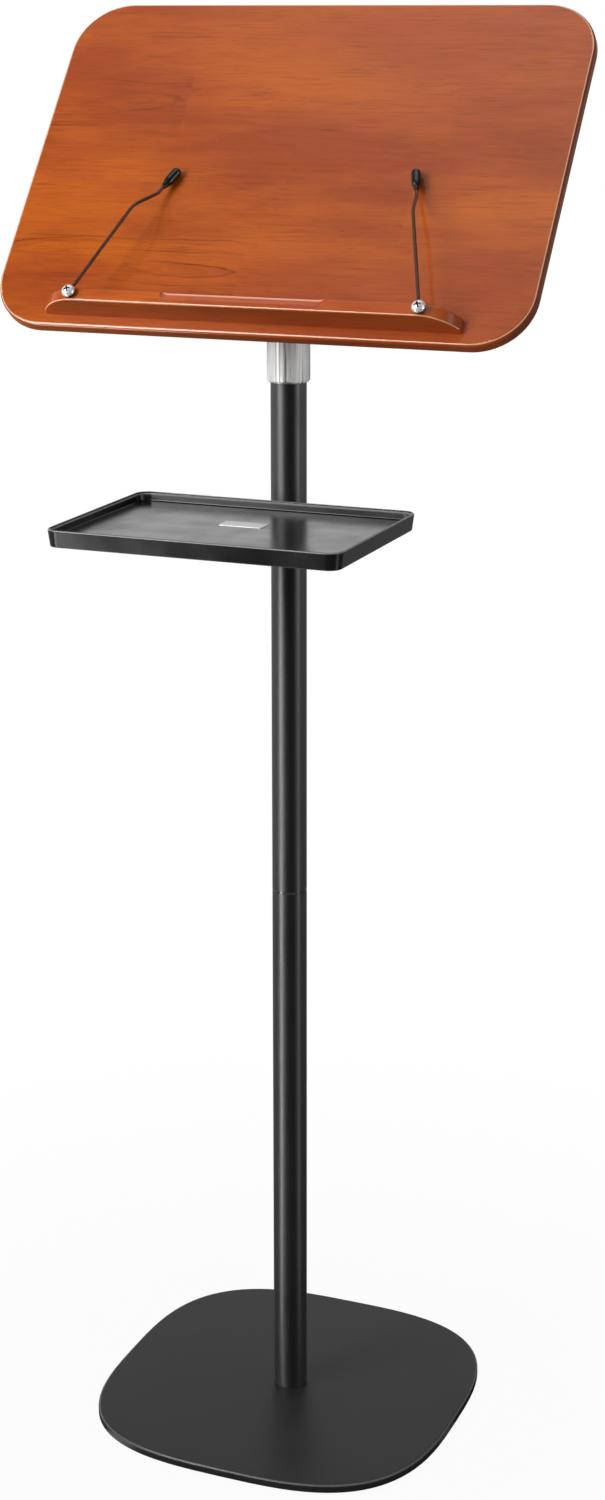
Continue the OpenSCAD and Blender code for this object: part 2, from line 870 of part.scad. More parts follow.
module bracket_screws() {
    color(zinc)
        desk_frame()
            bracket_screw_places()
                translate([0, 0, web_z])
                    rotate([180, 0, 0])
                        domed_screw(bracket_screw_d, bracket_t + bracket_screw_bite,
                                    bracket_screw_head_d, bracket_screw_head_h);
}

// Carriage bolt: domed head and square neck in the left ear, knob on the right end
module tilt_bolt() {
    color(zinc)
        desk_frame()
            translate([-ear_out, 0, 0]) {
                rotate([0, -90, 0])
                    domed_screw(tilt_bolt_d, ear_out + knob_seat + tilt_bolt_bite,
                                tilt_bolt_head_d, tilt_bolt_head_h);
                translate([-eps, -neck_w / 2, -neck_w / 2])
                    cube([bracket_t - gap, neck_w, neck_w]);
            }
}

// Ring round the X axis, with one face on X = 0
module ring_x(r_in, r_out, t) {
    along_x()
        difference() {
            cylinder(h = t, r = r_out);
            translate([0, 0, -cut]) cylinder(h = t + 2 * cut, r = r_in);
        }
}

module tilt_washers() {
    color(nylon)
        desk_frame()
            for (x = [-ear_in, ear_in - tilt_washer_t])
                translate([x, 0, 0]) ring_x(tilt_bolt_d / 2 + fit, tilt_washer_r, tilt_washer_t);
}

module knob_washer() {
    color(zinc)
        desk_frame()
            translate([ear_out, 0, 0]) ring_x(tilt_bolt_d / 2 + fit, tilt_bolt_d, tilt_washer_t);
}

// Plastic hand knob with a short hub that faces the washer
module tilt_knob() {
    color(black_plastic)
        desk_frame()
            translate([knob_seat + washer_gap, 0, 0])
                along_x() {
                    difference() {
                        cylinder(h = knob_hub_h + eps, r = knob_hub_r);
                        translate([0, 0, -cut]) cylinder(h = knob_hub_h + 2 * cut, r = nut_r + fit);
                    }
                    translate([0, 0, knob_hub_h])
                        lobed_knob(tilt_knob_d, tilt_knob_h, nut_r + fit);
                    translate([0, 0, knob_hub_h + tilt_knob_h - knob_cap_t])
                        cylinder(h = knob_cap_t, r = knob_cap_r);
                }
}

// Threaded brass bush moulded into the tilt knob
module tilt_nut() {
    color(brass)
        desk_frame()
            translate([knob_seat + washer_gap, 0, 0])
                ring_x(tilt_bolt_d / 2 + fit, nut_r, knob_hub_h + tilt_knob_h - knob_cap_t - fit);
}

// Places its children on the board's back face at each ledge screw
module ledge_screw_places() {
    for (x = [-ledge_screw_x, 0, ledge_screw_x])
        translate([x, ledge_mid, desk_standoff]) children();
}

module ledge_screw(grow) {
    cylinder(h = ledge_screw_head_h, r1 = ledge_screw_head_d / 2 + grow, r2 = ledge_screw_d / 2 + grow);
    cylinder(h = desk_t + ledge_screw_bite + grow, r = ledge_screw_d / 2 + grow);
}

// Solid wood board with rounded edges; the back has blind pilot holes
module desk_board() {
    color(cherry)
        desk_frame()
            difference() {
                translate([0, desk_lift, desk_standoff]) {
                    sweep_round_rect(desk_w, desk_h, desk_corner_r)
                        two_rounded_edges(desk_corner_r, desk_t, desk_edge_r);
                    translate([0, 0, desk_t / 2])
                        cube([desk_w - 2 * desk_corner_r, desk_h - 2 * desk_corner_r, desk_t], center = true);
                }
                bracket_screw_places()
                    translate([0, 0, desk_standoff - cut])
                        cylinder(h = bracket_screw_bite + gap + cut, r = bracket_screw_d / 2 + fit);
                ledge_screw_places() ledge_screw(fit);
                ledge_screw_places()
                    translate([0, 0, -cut]) cylinder(h = cut + eps, r = ledge_screw_head_d / 2 + fit);
            }
}

// Ledge on Z = 0 with its underside on Y = 0: a straight bar with both front edges
// rounded, whose front curves back towards the board at each end
module ledge_bar() {
    translate([ledge_flat / 2, 0, 0])
        rotate([0, -90, 0])
            linear_extrude(ledge_flat) two_rounded_edges(ledge_d, ledge_t, ledge_edge_r);
    for (s = [0, 1])
        mirror([s, 0, 0])
            intersection() {
                translate([ledge_flat / 2, 0, ledge_d - end_r])
                    rotate([-90, 0, 0])
                        rotate([0, 0, -90])
                            rotate_extrude(angle = 90)
                                two_rounded_edges(end_r, ledge_t, ledge_edge_r);
                translate([ledge_flat / 2 - cut, -cut, 0])
                    cube([ledge_end_run + cut, ledge_t + 2 * cut, ledge_d + cut]);
            }
}

// Round bar along X whose ends run in on a curve: it hollows the pen scoop out
module scoop_bar() {
    run = [for (a = [0 : 6 : 90]) scoop_end_r * [sin(a) - 1, 1 - cos(a)]];
    last = len(run) - 1;
    along_x()
        rotate_extrude($fn = 180)
            polygon([
                [0, 0],
                each [for (p = run) [scoop_r + p[0], p[1]]],
                each [for (i = [last : -1 : 0]) [scoop_r + run[i][0], scoop_bar_len - run[i][1]]],
                [0, scoop_bar_len]
            ]);
}

// Wooden ledge, square to the board, with a soft-ended pen scoop in its front top edge
module book_ledge() {
    color(cherry)
        desk_frame()
            difference() {
                translate([0, ledge_low, front_z]) ledge_bar();
                translate([-scoop_bar_len / 2, ledge_high - scoop_drop, ledge_front - scoop_depth + scoop_r])
                    scoop_bar();
                ledge_screw_places()
                    translate([0, 0, desk_t - cut])
                        cylinder(h = ledge_screw_bite + gap + cut, r = ledge_screw_d / 2 + fit);
                arm_places()
                    translate([0, 0, ledge_d - insert_sink - insert_len])
                        cylinder(h = insert_len + insert_sink + cut, r = arm_screw_r + insert_wall + fit);
            }
}

module ledge_screws() {
    color(zinc)
        desk_frame()
            ledge_screw_places() ledge_screw(0);
}

// Places its children on the board's front face at each page holder screw
module arm_places(sides = [-1, 1]) {
    for (s = sides)
        translate([s * (ledge_w / 2 - arm_inset), arm_screw_y, front_z]) children();
}

// Brass threaded inserts set into the front of the ledge
module arm_inserts() {
    color(brass)
        desk_frame()
            arm_places()
                translate([0, 0, ledge_d - insert_sink - insert_len])
                    difference() {
                        cylinder(h = insert_len, r = arm_screw_r + insert_wall);
                        translate([0, 0, -cut]) cylinder(h = insert_len + 2 * cut, r = arm_screw_r + fit);
                    }
}

// Bright domed screw with a cross recess; its shank is the page holder's pivot
module arm_screw(side) {
    seat = ledge_d + 2 * gap + arm_wire_d;
    color(bright_metal)
        desk_frame()
            arm_places([side])
                translate([0, 0, seat])
                    difference() {
                        domed_screw(arm_screw_d, seat - ledge_d + insert_sink + insert_len - gap,
                                    arm_head_d, arm_head_h);
                        for (a = [recess_turn, recess_turn + 90])
                            rotate([0, 0, a])
                                translate([-recess_len / 2, -recess_w / 2, arm_head_h - recess_depth])
                                    cube([recess_len, recess_w, recess_depth + cut]);
                    }
}

module arm_screw_left() { arm_screw(-1); }
module arm_screw_right() { arm_screw(1); }

// Puts its children in the plane of one page holder: X along it, Y off the board
module arm_plane(side, lean) {
    desk_frame()
        arm_places([side])
            rotate([0, 0, side * lean])
                rotate([90, 0, 90]) children();
}

// Sprung wire: an eye round the screw, a straight, a step in and a foot
module page_arm(side, lean) {
    color(black_powder) {
        arm_plane(side, lean)
            bent_wire([arm_path[0], arm_path[1], arm_path[2], tip_root + foot_dir * tip_wire_in],
                      wire_r, arm_bend_r);
        desk_frame()
            arm_places([side])
                translate([0, 0, arm_h])
                    rotate_extrude() translate([eye_r, 0]) circle(wire_r, $fn = 32);
    }
}

module page_arm_left() { page_arm(-1, left_lean_angle); }
module page_arm_right() { page_arm(1, right_lean_angle); }

// Rubber tip pushed over the wire: slim neck, full body and round end
module arm_tip(side, lean) {
    body_len = norm(arm_path[3] - tip_root) - tip_r;
    color(rubber)
        arm_plane(side, lean)
            translate([tip_root[0], tip_root[1], 0])
                rotate([0, 0, heading(foot_dir)])
                    along_x()
                        difference() {
                            union() {
                                rotate_extrude()
                                    polygon([[0, 0], [tip_neck_r, 0], [tip_r, tip_taper],
                                             [tip_r, body_len], [0, body_len]]);
                                translate([0, 0, body_len]) sphere(tip_r, $fn = 48);
                            }
                            translate([0, 0, -cut])
                                cylinder(h = tip_wire_in + gap + cut, r = wire_r + fit, $fn = 32);
                        }
}

module arm_tip_left() { arm_tip(-1, left_lean_angle); }
module arm_tip_right() { arm_tip(1, right_lean_angle); }

// Split plastic liner that slides on the pole inside the tray clamp
module tray_liner() {
    color(black_plastic)
        difference() {
            union() {
                translate([0, 0, clamp_z - washer_gap])
                    cylinder(h = clamp_h + washer_gap, r = liner_r);
                translate([0, 0, clamp_z - washer_gap - liner_flange_h])
                    cylinder(h = liner_flange_h + eps, r = liner_flange_r);
            }
            translate([0, 0, clamp_z - liner_flange_h - cut])
                cylinder(h = clamp_h + liner_flange_h + 2 * cut, r = pole_r + fit);
            translate([0, -liner_slit / 2, clamp_z - liner_flange_h - cut])
                cube([clamp_r + cut, liner_slit, clamp_h + liner_flange_h + 2 * cut]);
        }
}

// Places its children under the tray at each of its four screws
module tray_screw_places() {
    for (x = [-tray_screw_x, tray_screw_x])
        for (y = [-tray_screw_back, -tray_screw_front])
            translate([x, y, 0]) children();
}

// Clamp ring with a boss for the knob and a ribbed arm under the tray
module tray_bracket() {
    color(black_powder)
        difference() {
            union() {
                translate([0, 0, clamp_z]) cylinder(h = clamp_h, r = clamp_r);
                translate([0, 0, knob_z])
                    rotate([-90, 0, 0]) cylinder(h = knob_boss_out, r = knob_boss_r);
                translate([0, 0, arm_z])
                    linear_extrude(tray_arm_t) {
                        translate([-tray_arm_w / 2, -tray_arm_len + arm_nose_r])
                            square([tray_arm_w, tray_arm_len - arm_nose_r - arm_root]);
                        translate([-tray_arm_w / 2 + arm_nose_r, -tray_arm_len])
                            square([tray_arm_w - 2 * arm_nose_r, arm_nose_r + eps]);
                        for (s = [-1, 1])
                            translate([s * (tray_arm_w / 2 - arm_nose_r), -tray_arm_len + arm_nose_r])
                                circle(arm_nose_r);
                    }
                for (x = [-rib_out, rib_out - rib_t])
                    translate([x, 0, 0])
                        rotate([90, 0, 90])
                            linear_extrude(rib_t)
                                polygon([
                                    [-rib_root, arm_z + eps], [-rib_root, arm_z - rib_h],
                                    [-clamp_r, arm_z - rib_h], [-rib_tip, arm_z - rib_end_h],
                                    [-rib_tip, arm_z + eps]
                                ]);
            }
            translate([0, 0, clamp_z - cut]) cylinder(h = clamp_h + 2 * cut, r = clamp_bore_r);
            translate([0, 0, knob_z])
                rotate([-90, 0, 0]) cylinder(h = knob_boss_out + cut, r = tray_stud_d / 2 + fit);
            tray_screw_places()
                translate([0, 0, arm_z - cut])
                    cylinder(h = tray_arm_t + 2 * cut, r = tray_screw_d / 2 + hole_clear);
        }
}

// Section of the tray wall: leaning outside, stepped rim inside, skirt below
module tray_wall_section() {
    out = tray_corner_r;
    lean_at_floor = tray_draft * (tray_floor_top - tray_z) / tray_h;
    inner = out - tray_draft + lean_at_floor - tray_wall;
    polygon([
        [out - tray_draft - tray_wall, 0],
        [out - tray_draft, 0],
        [out, tray_h],
        [out - tray_wall + rim_step, tray_h],
        [out - tray_wall + rim_step, tray_h - rim_step_h + rim_step],
        [out - tray_wall, tray_h - rim_step_h],
        [inner, tray_h - tray_inner_h],
        [0, tray_h - tray_inner_h],
        [0, tray_h - tray_inner_h - tray_floor_t],
        [out - tray_draft - tray_wall, tray_h - tray_inner_h - tray_floor_t]
    ]);
}

// Moulded tray: raised floor, shallow rim, skirt and four screw bosses below
module tray() {
    color(black_plastic)
        difference() {
            union() {
                translate([0, tray_y, tray_z])
                    sweep_round_rect(tray_w, tray_d, tray_corner_r) tray_wall_section();
                translate([0, tray_y, tray_floor_z + tray_floor_t / 2])
                    cube([tray_w - 2 * tray_corner_r, tray_d - 2 * tray_corner_r, tray_floor_t],
                         center = true);
                tray_screw_places()
                    translate([0, 0, tray_z]) cylinder(h = tray_floor_z - tray_z + eps, r = boss_r);
            }
            tray_screw_places()
                translate([0, 0, tray_z - cut])
                    cylinder(h = tray_screw_bite + gap + cut, r = tray_screw_d / 2 + fit);
            translate([0, badge_y, tray_floor_top - badge_sink])
                linear_extrude(badge_sink + cut)
                    round_rect(badge_w + 2 * gap, badge_d + 2 * gap, badge_corner_r + gap);
        }
}

// Bare bright plate let into the tray floor
module tray_badge() {
    color(bright_metal)
        translate([0, badge_y, tray_floor_top - badge_sink])
            linear_extrude(badge_t) round_rect(badge_w, badge_d, badge_corner_r);
}

// Four screws up through the arm into the tray's bosses
module tray_screws() {
    color(zinc)
        tray_screw_places()
            translate([0, 0, arm_z])
                rotate([180, 0, 0])
                    domed_screw(tray_screw_d, tray_arm_t + tray_screw_bite,
                                tray_screw_head_d, tray_screw_head_h);
}

// Hand knob on the clamp's boss, behind the pole
module tray_knob() {
    color(black_plastic)
        translate([0, knob_boss_out + gap, knob_z])
            rotate([-90, 0, 0]) lobed_knob(tray_knob_d, tray_knob_h, tray_stud_d / 2 + fit);
}

// Threaded stud fixed in the tray knob; its end presses on the liner
module tray_stud() {
    stud_from = liner_r + gap;
    color(zinc)
        translate([0, stud_from, knob_z])
            rotate([-90, 0, 0])
                cylinder(h = knob_boss_out + gap + tray_knob_h - stud_sink - stud_from, r = tray_stud_d / 2);
}

base_plate();
base_feet();
base_bolt();
base_washer();
foot_plug();
lower_tube();
joiner_socket();
joiner_stud();
upper_tube();
lock_sleeve();
lock_collet();
lock_collar();
mast_glide();
mast_plug();
mast_tube();
tilt_head();
desk_bracket();
bracket_screws();
tilt_bolt();
tilt_washers();
knob_washer();
tilt_knob();
tilt_nut();
desk_board();
book_ledge();
ledge_screws();
arm_inserts();
arm_screw_left();
arm_screw_right();
page_arm_left();
page_arm_right();
arm_tip_left();
arm_tip_right();
tray_liner();
tray_bracket();
tray();
tray_badge();
tray_screws();
tray_knob();
tray_stud();
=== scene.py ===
"""Free-standing lectern: its finishes, detailed pieces and studio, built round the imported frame."""

import json
import math

import bpy
from mathutils import Matrix, Vector

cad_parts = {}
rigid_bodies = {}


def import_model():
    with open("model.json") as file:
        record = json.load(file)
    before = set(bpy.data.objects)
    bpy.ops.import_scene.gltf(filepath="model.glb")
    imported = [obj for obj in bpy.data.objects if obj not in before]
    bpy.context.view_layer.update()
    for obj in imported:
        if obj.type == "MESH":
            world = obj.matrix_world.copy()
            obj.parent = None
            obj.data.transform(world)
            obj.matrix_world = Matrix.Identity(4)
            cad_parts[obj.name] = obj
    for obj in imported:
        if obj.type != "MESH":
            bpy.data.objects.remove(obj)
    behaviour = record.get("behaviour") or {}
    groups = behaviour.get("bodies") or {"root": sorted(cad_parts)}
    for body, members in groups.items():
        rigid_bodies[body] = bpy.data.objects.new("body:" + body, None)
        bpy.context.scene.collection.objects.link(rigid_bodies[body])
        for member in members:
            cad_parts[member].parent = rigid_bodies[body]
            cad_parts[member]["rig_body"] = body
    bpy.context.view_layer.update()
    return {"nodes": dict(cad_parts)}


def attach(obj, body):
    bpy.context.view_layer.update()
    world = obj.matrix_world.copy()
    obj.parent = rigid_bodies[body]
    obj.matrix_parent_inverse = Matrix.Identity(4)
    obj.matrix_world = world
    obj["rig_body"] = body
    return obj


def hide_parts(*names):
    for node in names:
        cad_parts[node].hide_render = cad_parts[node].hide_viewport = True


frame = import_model()
cad = frame["nodes"]
MM = 0.001


# Base plate: 8 mm steel cut to a bowed square, its top edge rounded over by grinding,
# then blasted and powder coated dead matt black. It is the ballast of the whole stand.
def inside(finish):
    """A material's node tree and its shader."""
    return finish.node_tree, finish.node_tree.nodes["Principled BSDF"]


def new_finish(name):
    """A new material, its node tree and its shader."""
    made = bpy.data.materials.new(name)
    made.use_nodes = True
    return made, *inside(made)


def node(tree, kind, wired=None, **settings):
    """Adds a shader node; wired gives each socket a value, or the output that feeds it."""
    made = tree.nodes.new("ShaderNode" + kind)
    for key, value in settings.items():
        setattr(made, key, value)
    for key, value in (wired or {}).items():
        if isinstance(value, bpy.types.NodeSocket):
            tree.links.new(value, made.inputs[key])
        else:
            made.inputs[key].default_value = value
    return made


def own_place(tree):
    """The point on the piece itself, in metres, which stays put when the piece moves."""
    return node(tree, "TexCoord").outputs["Object"]


def split_up(tree, vector):
    """A vector's X, Y and Z."""
    return node(tree, "SeparateXYZ", {"Vector": vector}).outputs


def facing_up(tree):
    """How far the surface faces up: 1 on top, 0 on the sides, -1 below."""
    return split_up(tree, node(tree, "TexCoord").outputs["Normal"])["Z"]


def stretched(tree, place, scale):
    """The place with each of its three directions scaled."""
    return node(tree, "Mapping", {"Vector": place, "Scale": scale}).outputs["Vector"]


def noise(tree, place, scale, detail, roughness=0.5):
    """Soft noise from 0 to 1, with scale as its patches per metre."""
    sockets = {"Vector": place, "Scale": scale, "Detail": detail, "Roughness": roughness}
    return node(tree, "TexNoise", sockets).outputs["Fac"]


def between(tree, value, low, high, start=0.0, stop=1.0):
    """Carries value from the range start..stop to low..high, clamped."""
    sockets = {"Value": value, "From Min": start, "From Max": stop, "To Min": low, "To Max": high}
    return node(tree, "MapRange", sockets).outputs["Result"]


def swing(tree, drift, middle, less, more):
    """Lets a value swing about its middle with a noise, which mostly lies in 0.3 to 0.7."""
    return between(tree, drift, middle - less, middle + more, 0.3, 0.7)


def sums(tree, operation, first, second=0.0, third=0.0):
    """Sums on numbers; operation is one of the Math node's, by name."""
    return node(tree, "Math", {0: first, 1: second, 2: third}, operation=operation).outputs["Value"]


def times(tree, first, second):
    """The product of two numbers."""
    return sums(tree, "MULTIPLY", first, second)


def window(tree, value, rise_from, rise_to, fall_from, fall_to):
    """1 where value lies inside a window with soft sides, 0 outside it."""
    rising = between(tree, value, 0, 1, rise_from, rise_to)
    falling = between(tree, value, 1, 0, fall_from, fall_to)
    return times(tree, rising, falling)


def mixed(tree, share, first, second):
    """Mixes two colours; share 0 gives the first."""
    made = node(tree, "Mix", {0: share}, data_type="RGBA")
    for index, colour in ((6, first), (7, second)):
        if isinstance(colour, bpy.types.NodeSocket):
            tree.links.new(colour, made.inputs[index])
        else:
            made.inputs[index].default_value = (*colour, 1)
    return made.outputs[2]


def shade(colour, share):
    """The colour made darker or paler by a share."""
    return tuple(share * c for c in colour)


def two_tone(tree, share, colour, dark, pale):
    """Mixes a darker and a paler shade of one colour; share 0 gives the darker."""
    return mixed(tree, share, shade(colour, dark), shade(colour, pale))


def wire(tree, shader, **sockets):
    """Sets or links the shader's sockets; an underscore in a name stands for a space."""
    for key, value in sockets.items():
        socket = shader.inputs[key.replace("_", " ")]
        if isinstance(value, bpy.types.NodeSocket):
            tree.links.new(value, socket)
        else:
            socket.default_value = value


def overlay(finish, share, colour):
    """Lays a colour over the finish's own, as far as share, from 0 to 1, says."""
    tree, shader = inside(finish)
    below = shader.inputs["Base Color"].links[0].from_socket
    wire(tree, shader, Base_Color=mixed(tree, share, below, colour))


def bump(tree, height, depth, strength=1.0):
    """Normal of a surface that height, from 0 to 1, lifts by depth metres."""
    sockets = {"Height": height, "Distance": depth, "Strength": strength}
    return node(tree, "Bump", sockets).outputs["Normal"]


def powder_coat(name, colour, roughness, peel_depth, gloss=0.5):
    """Black powder coat: melted grains leave a fine peel, and the gloss drifts a little."""
    peel_per_metre = 900
    drift_per_metre = 14
    made, tree, shader = new_finish(name)
    place = own_place(tree)
    peel = noise(tree, place, peel_per_metre, detail=2)
    drift = noise(tree, place, drift_per_metre, detail=4, roughness=0.6)
    wire(
        tree,
        shader,
        Base_Color=two_tone(tree, drift, colour, 0.88, 1.12),
        Roughness=swing(tree, drift, roughness, 0.05, 0.05),
        Specular_IOR_Level=gloss,
        Normal=bump(tree, peel, peel_depth),
    )
    return made


def give(finish, *names):
    """Puts a finish on CAD nodes."""
    for name in names:
        slots = cad[name].data.materials
        slots.clear()
        slots.append(finish)


def smooth_faces(data):
    """Shades every face of a mesh smooth."""
    data.polygons.foreach_set("use_smooth", [True] * len(data.polygons))


def even_normals(piece):
    """Keeps the flats of a smooth piece flat to the light."""
    even = piece.modifiers.new("even normals", "WEIGHTED_NORMAL")
    even.keep_sharp = False


def soften(piece, width, steps, degrees=32):
    """Rounds the edges of a piece that turn by more than so many degrees."""
    eased = piece.modifiers.new("ease", "BEVEL")
    eased.width = width
    eased.segments = steps
    eased.limit_method = "ANGLE"
    eased.angle_limit = math.radians(degrees)
    even_normals(piece)


def ease_edges(width, *names, steps=2):
    """Breaks the sharp edges of CAD nodes, as deburring or a mould's radius does."""
    weld_reach = 0.002 * MM
    flat_within = math.radians(0.5)
    for name in names:
        piece = cad[name]
        smooth_faces(piece.data)
        weld = piece.modifiers.new("weld", "WELD")
        weld.merge_threshold = weld_reach
        joined = piece.modifiers.new("join flats", "DECIMATE")
        joined.decimate_type = "DISSOLVE"
        joined.angle_limit = flat_within
        soften(piece, width, steps)


base_coat = powder_coat("base_powder_coat", (0.019, 0.0193, 0.0202), 0.4, 0.02 * MM)
give(base_coat, "base_plate")

# A paler grey is painted on the plate's rounded top edge: a painted highlight along it
PLATE_PAINTED_HIGHLIGHT = (0.12, 0.12, 0.124)
PLATE_EDGE = (0.35, 0.6, 0.85, 0.98)
tree = base_coat.node_tree
overlay(base_coat, window(tree, facing_up(tree), *PLATE_EDGE), PLATE_PAINTED_HIGHLIGHT)
ease_edges(0.25 * MM, "base_plate", steps=1)


# Feet: five moulded rubber discs pressed into pockets under the plate. The rubber is
# dull, slightly dusty, and hides the middle bolt.
def rubber(name, colour, roughness):
    """Moulded rubber: a fine blasted texture with faint pale bloom."""
    grain_per_metre = 2600
    grain_depth = 0.02 * MM
    bloom_per_metre = 90
    made, tree, shader = new_finish(name)
    place = own_place(tree)
    grain = noise(tree, place, grain_per_metre, detail=2)
    bloom = noise(tree, place, bloom_per_metre, detail=4, roughness=0.6)
    wire(
        tree,
        shader,
        Base_Color=two_tone(tree, between(tree, bloom, 0, 1, 0.35, 0.75), colour, 0.8, 1.35),
        Roughness=swing(tree, bloom, roughness, 0.06, 0.08),
        Normal=bump(tree, grain, grain_depth),
    )
    return made


foot_rubber = rubber("foot_rubber", (0.016, 0.016, 0.016), 0.7)
give(foot_rubber, "base_feet")
ease_edges(0.5 * MM, "base_feet")


# Fasteners and inner metal: the base bolt with its washer, the plugs and the stud that
# join the pole, and the screws under the desk and tray. All are steel, bright zinc plated.
def plated_steel(name, colour, roughness, spangle):
    """Plated metal: cloudy crystals in the gloss and faint turning marks."""
    crystals_per_metre = 420
    marks_per_metre = 2200
    marks_run = (0.15, 0.15, 1)
    mark_depth = 0.004 * MM
    made, tree, shader = new_finish(name)
    place = own_place(tree)
    crystals = noise(tree, place, crystals_per_metre, detail=4, roughness=0.65)
    marks = noise(tree, stretched(tree, place, marks_run), marks_per_metre, detail=2)
    wire(
        tree,
        shader,
        Base_Color=two_tone(tree, crystals, colour, 0.9, 1.08),
        Metallic=1.0,
        Roughness=swing(tree, crystals, roughness, spangle, spangle),
        Normal=bump(tree, marks, mark_depth),
    )
    return made


zinc = plated_steel("bright_zinc", (0.6, 0.61, 0.63), 0.3, 0.07)
zinc_nodes = (
    "base_bolt",
    "base_washer",
    "foot_plug",
    "joiner_socket",
    "joiner_stud",
    "lock_sleeve",
    "bracket_screws",
    "tilt_bolt",
    "knob_washer",
    "ledge_screws",
    "tray_screws",
    "tray_stud",
)
give(zinc, *zinc_nodes)
ease_edges(0.2 * MM, "base_bolt", "base_washer", "knob_washer", "lock_sleeve")


# Pole: two lengths of 32 mm steel tube with turned ends, screwed together at the fine
# seam. They are powder coated like the base but smoother, so they shine softly.
def gloss_along(tree, shader):
    """Turning marks that run round Z draw the gloss out along it."""
    drawn_out = 0.7
    quarter_turn = 0.25
    round_axis = node(tree, "Tangent", direction_type="RADIAL", axis="Z").outputs["Tangent"]
    wire(
        tree,
        shader,
        Anisotropic=drawn_out,
        Anisotropic_Rotation=quarter_turn,
        Tangent=round_axis,
    )


def height_on(tree):
    """How high the point on the piece lies, in metres."""
    return split_up(tree, own_place(tree))["Z"]


pole_coat = powder_coat("pole_powder_coat", (0.011, 0.011, 0.0115), 0.45, 0.006 * MM, gloss=1.0)
tree, shader = inside(pole_coat)
gloss_along(tree, shader)
give(pole_coat, "lower_tube", "upper_tube")

# Where the two turned ends meet the coat is smoother, and a pale line painted there is a painted
# highlight of their chamfers, so the seam shines as a fine line
SEAM_Z = 520 * MM
SEAM_HALF, SEAM_FADED = 1.0 * MM, 1.3 * MM
SEAM_PAINTED_HIGHLIGHT, SEAM_POLISH = (0.06, 0.06, 0.061), 0.3
off_seam = sums(tree, "ABSOLUTE", sums(tree, "SUBTRACT", height_on(tree), SEAM_Z))
seam = between(tree, off_seam, 1, 0, SEAM_HALF, SEAM_FADED)
overlay(pole_coat, seam, SEAM_PAINTED_HIGHLIGHT)
plain = shader.inputs["Roughness"].links[0].from_socket
wire(tree, shader, Roughness=times(tree, plain, between(tree, seam, 1.0, SEAM_POLISH)))


# Collet: a split ring of natural nylon that the collar squeezes on the mast. The glide at
# the foot of the mast and the washers beside the tilt head are of the same nylon.
def nylon_finish():
    """Natural nylon: waxy, slightly translucent, with faint moulding flow."""
    flow_per_metre = 60
    glow_depth = 1.5 * MM
    made, tree, shader = new_finish("natural_nylon")
    flow = noise(tree, own_place(tree), flow_per_metre, detail=3)
    wire(
        tree,
        shader,
        Base_Color=mixed(tree, flow, (0.7, 0.69, 0.64), (0.82, 0.81, 0.76)),
        Roughness=between(tree, flow, 0.38, 0.5),
        Subsurface_Weight=0.12,
        Subsurface_Scale=glow_depth,
    )
    return made


give(nylon_finish(), "lock_collet", "mast_glide", "tilt_washers")


# Lock collar: turned from aluminium bar, with straight knurling cut along it for grip and
# a bright chamfer at each end. It screws down over the collet to lock the height.
def machined_aluminium():
    """Turned aluminium left bright: fine dark streaks along Z, a painted shade of the knurl's
    grooves, with the full colour on the crests between.
    """
    colour = (0.95, 0.955, 0.955)
    streaks_per_metre = 300
    streaks_run = (1, 1, 0.02)
    streak_depth = 0.006 * MM
    clouds_per_metre = 70
    made, tree, shader = new_finish("knurled_aluminium")
    place = own_place(tree)
    streaks = noise(tree, stretched(tree, place, streaks_run), streaks_per_metre, detail=2)
    clouds = noise(tree, place, clouds_per_metre, detail=3)
    crests = between(tree, streaks, 0, 1, 0.32, 0.44)
    wire(
        tree,
        shader,
        Base_Color=two_tone(tree, crests, colour, 0.3, 1.0),
        Metallic=0.9,
        Roughness=swing(tree, clouds, 0.5, 0.04, 0.06),
        Normal=bump(tree, streaks, streak_depth),
    )
    gloss_along(tree, shader)
    return made


give(machined_aluminium(), "lock_collar")


# Mast: a 25 mm steel tube, satin plated, that slides in the pole. Fine polishing rings
# run round it, and a black plastic plug holds the glide on its foot.
def satin_tube():
    """Satin plating with polishing marks that run round the tube."""
    rings_per_metre = 3200
    rings_run = (0.03, 0.03, 1)
    ring_depth = 0.004 * MM
    made, tree, shader = new_finish("satin_mast")
    place = own_place(tree)
    rings = noise(tree, stretched(tree, place, rings_run), rings_per_metre, detail=2)
    wire(
        tree,
        shader,
        Base_Color=mixed(tree, rings, (0.56, 0.56, 0.58), (0.66, 0.66, 0.68)),
        Metallic=1.0,
        Roughness=between(tree, rings, 0.2, 0.3),
        Normal=bump(tree, rings, ring_depth),
    )
    return made


give(satin_tube(), "mast_tube")


# Plastic mouldings: the mast plug, the two hand knobs and the liner of the tray clamp.
# They come from a spark-eroded mould, so their skin is finely textured.
def moulded_plastic(name, colour, roughness, grain_depth):
    """Moulded black plastic: a fine even texture and a slow drift of gloss."""
    grain_per_metre = 3000
    drift_per_metre = 25
    made, tree, shader = new_finish(name)
    place = own_place(tree)
    grain = noise(tree, place, grain_per_metre, detail=2)
    drift = noise(tree, place, drift_per_metre, detail=3)
    wire(
        tree,
        shader,
        Base_Color=two_tone(tree, drift, colour, 0.9, 1.15),
        Roughness=swing(tree, drift, roughness, 0.05, 0.06),
        Normal=bump(tree, grain, grain_depth),
    )
    return made


textured_plastic = moulded_plastic("textured_plastic", (0.018, 0.018, 0.019), 0.5, 0.02 * MM)
give(textured_plastic, "mast_plug", "tilt_knob", "tray_knob", "tray_liner")
ease_edges(0.7 * MM, "tilt_knob", "tray_knob", steps=3)


# Tilt head, desk bracket and tray bracket: a small die casting on the mast, a pressed steel
# bracket on the back of the board, clamped to it by a carriage bolt, and the ring with its
# ribbed arm that carries the tray. All three are powder coated.
bracket_coat = powder_coat("bracket_powder_coat", (0.02, 0.02, 0.021), 0.42, 0.014 * MM)
give(bracket_coat, "tilt_head", "desk_bracket", "tray_bracket")
ease_edges(0.6 * MM, "tilt_head")
ease_edges(0.4 * MM, "desk_bracket")
ease_edges(0.8 * MM, "tray_bracket")


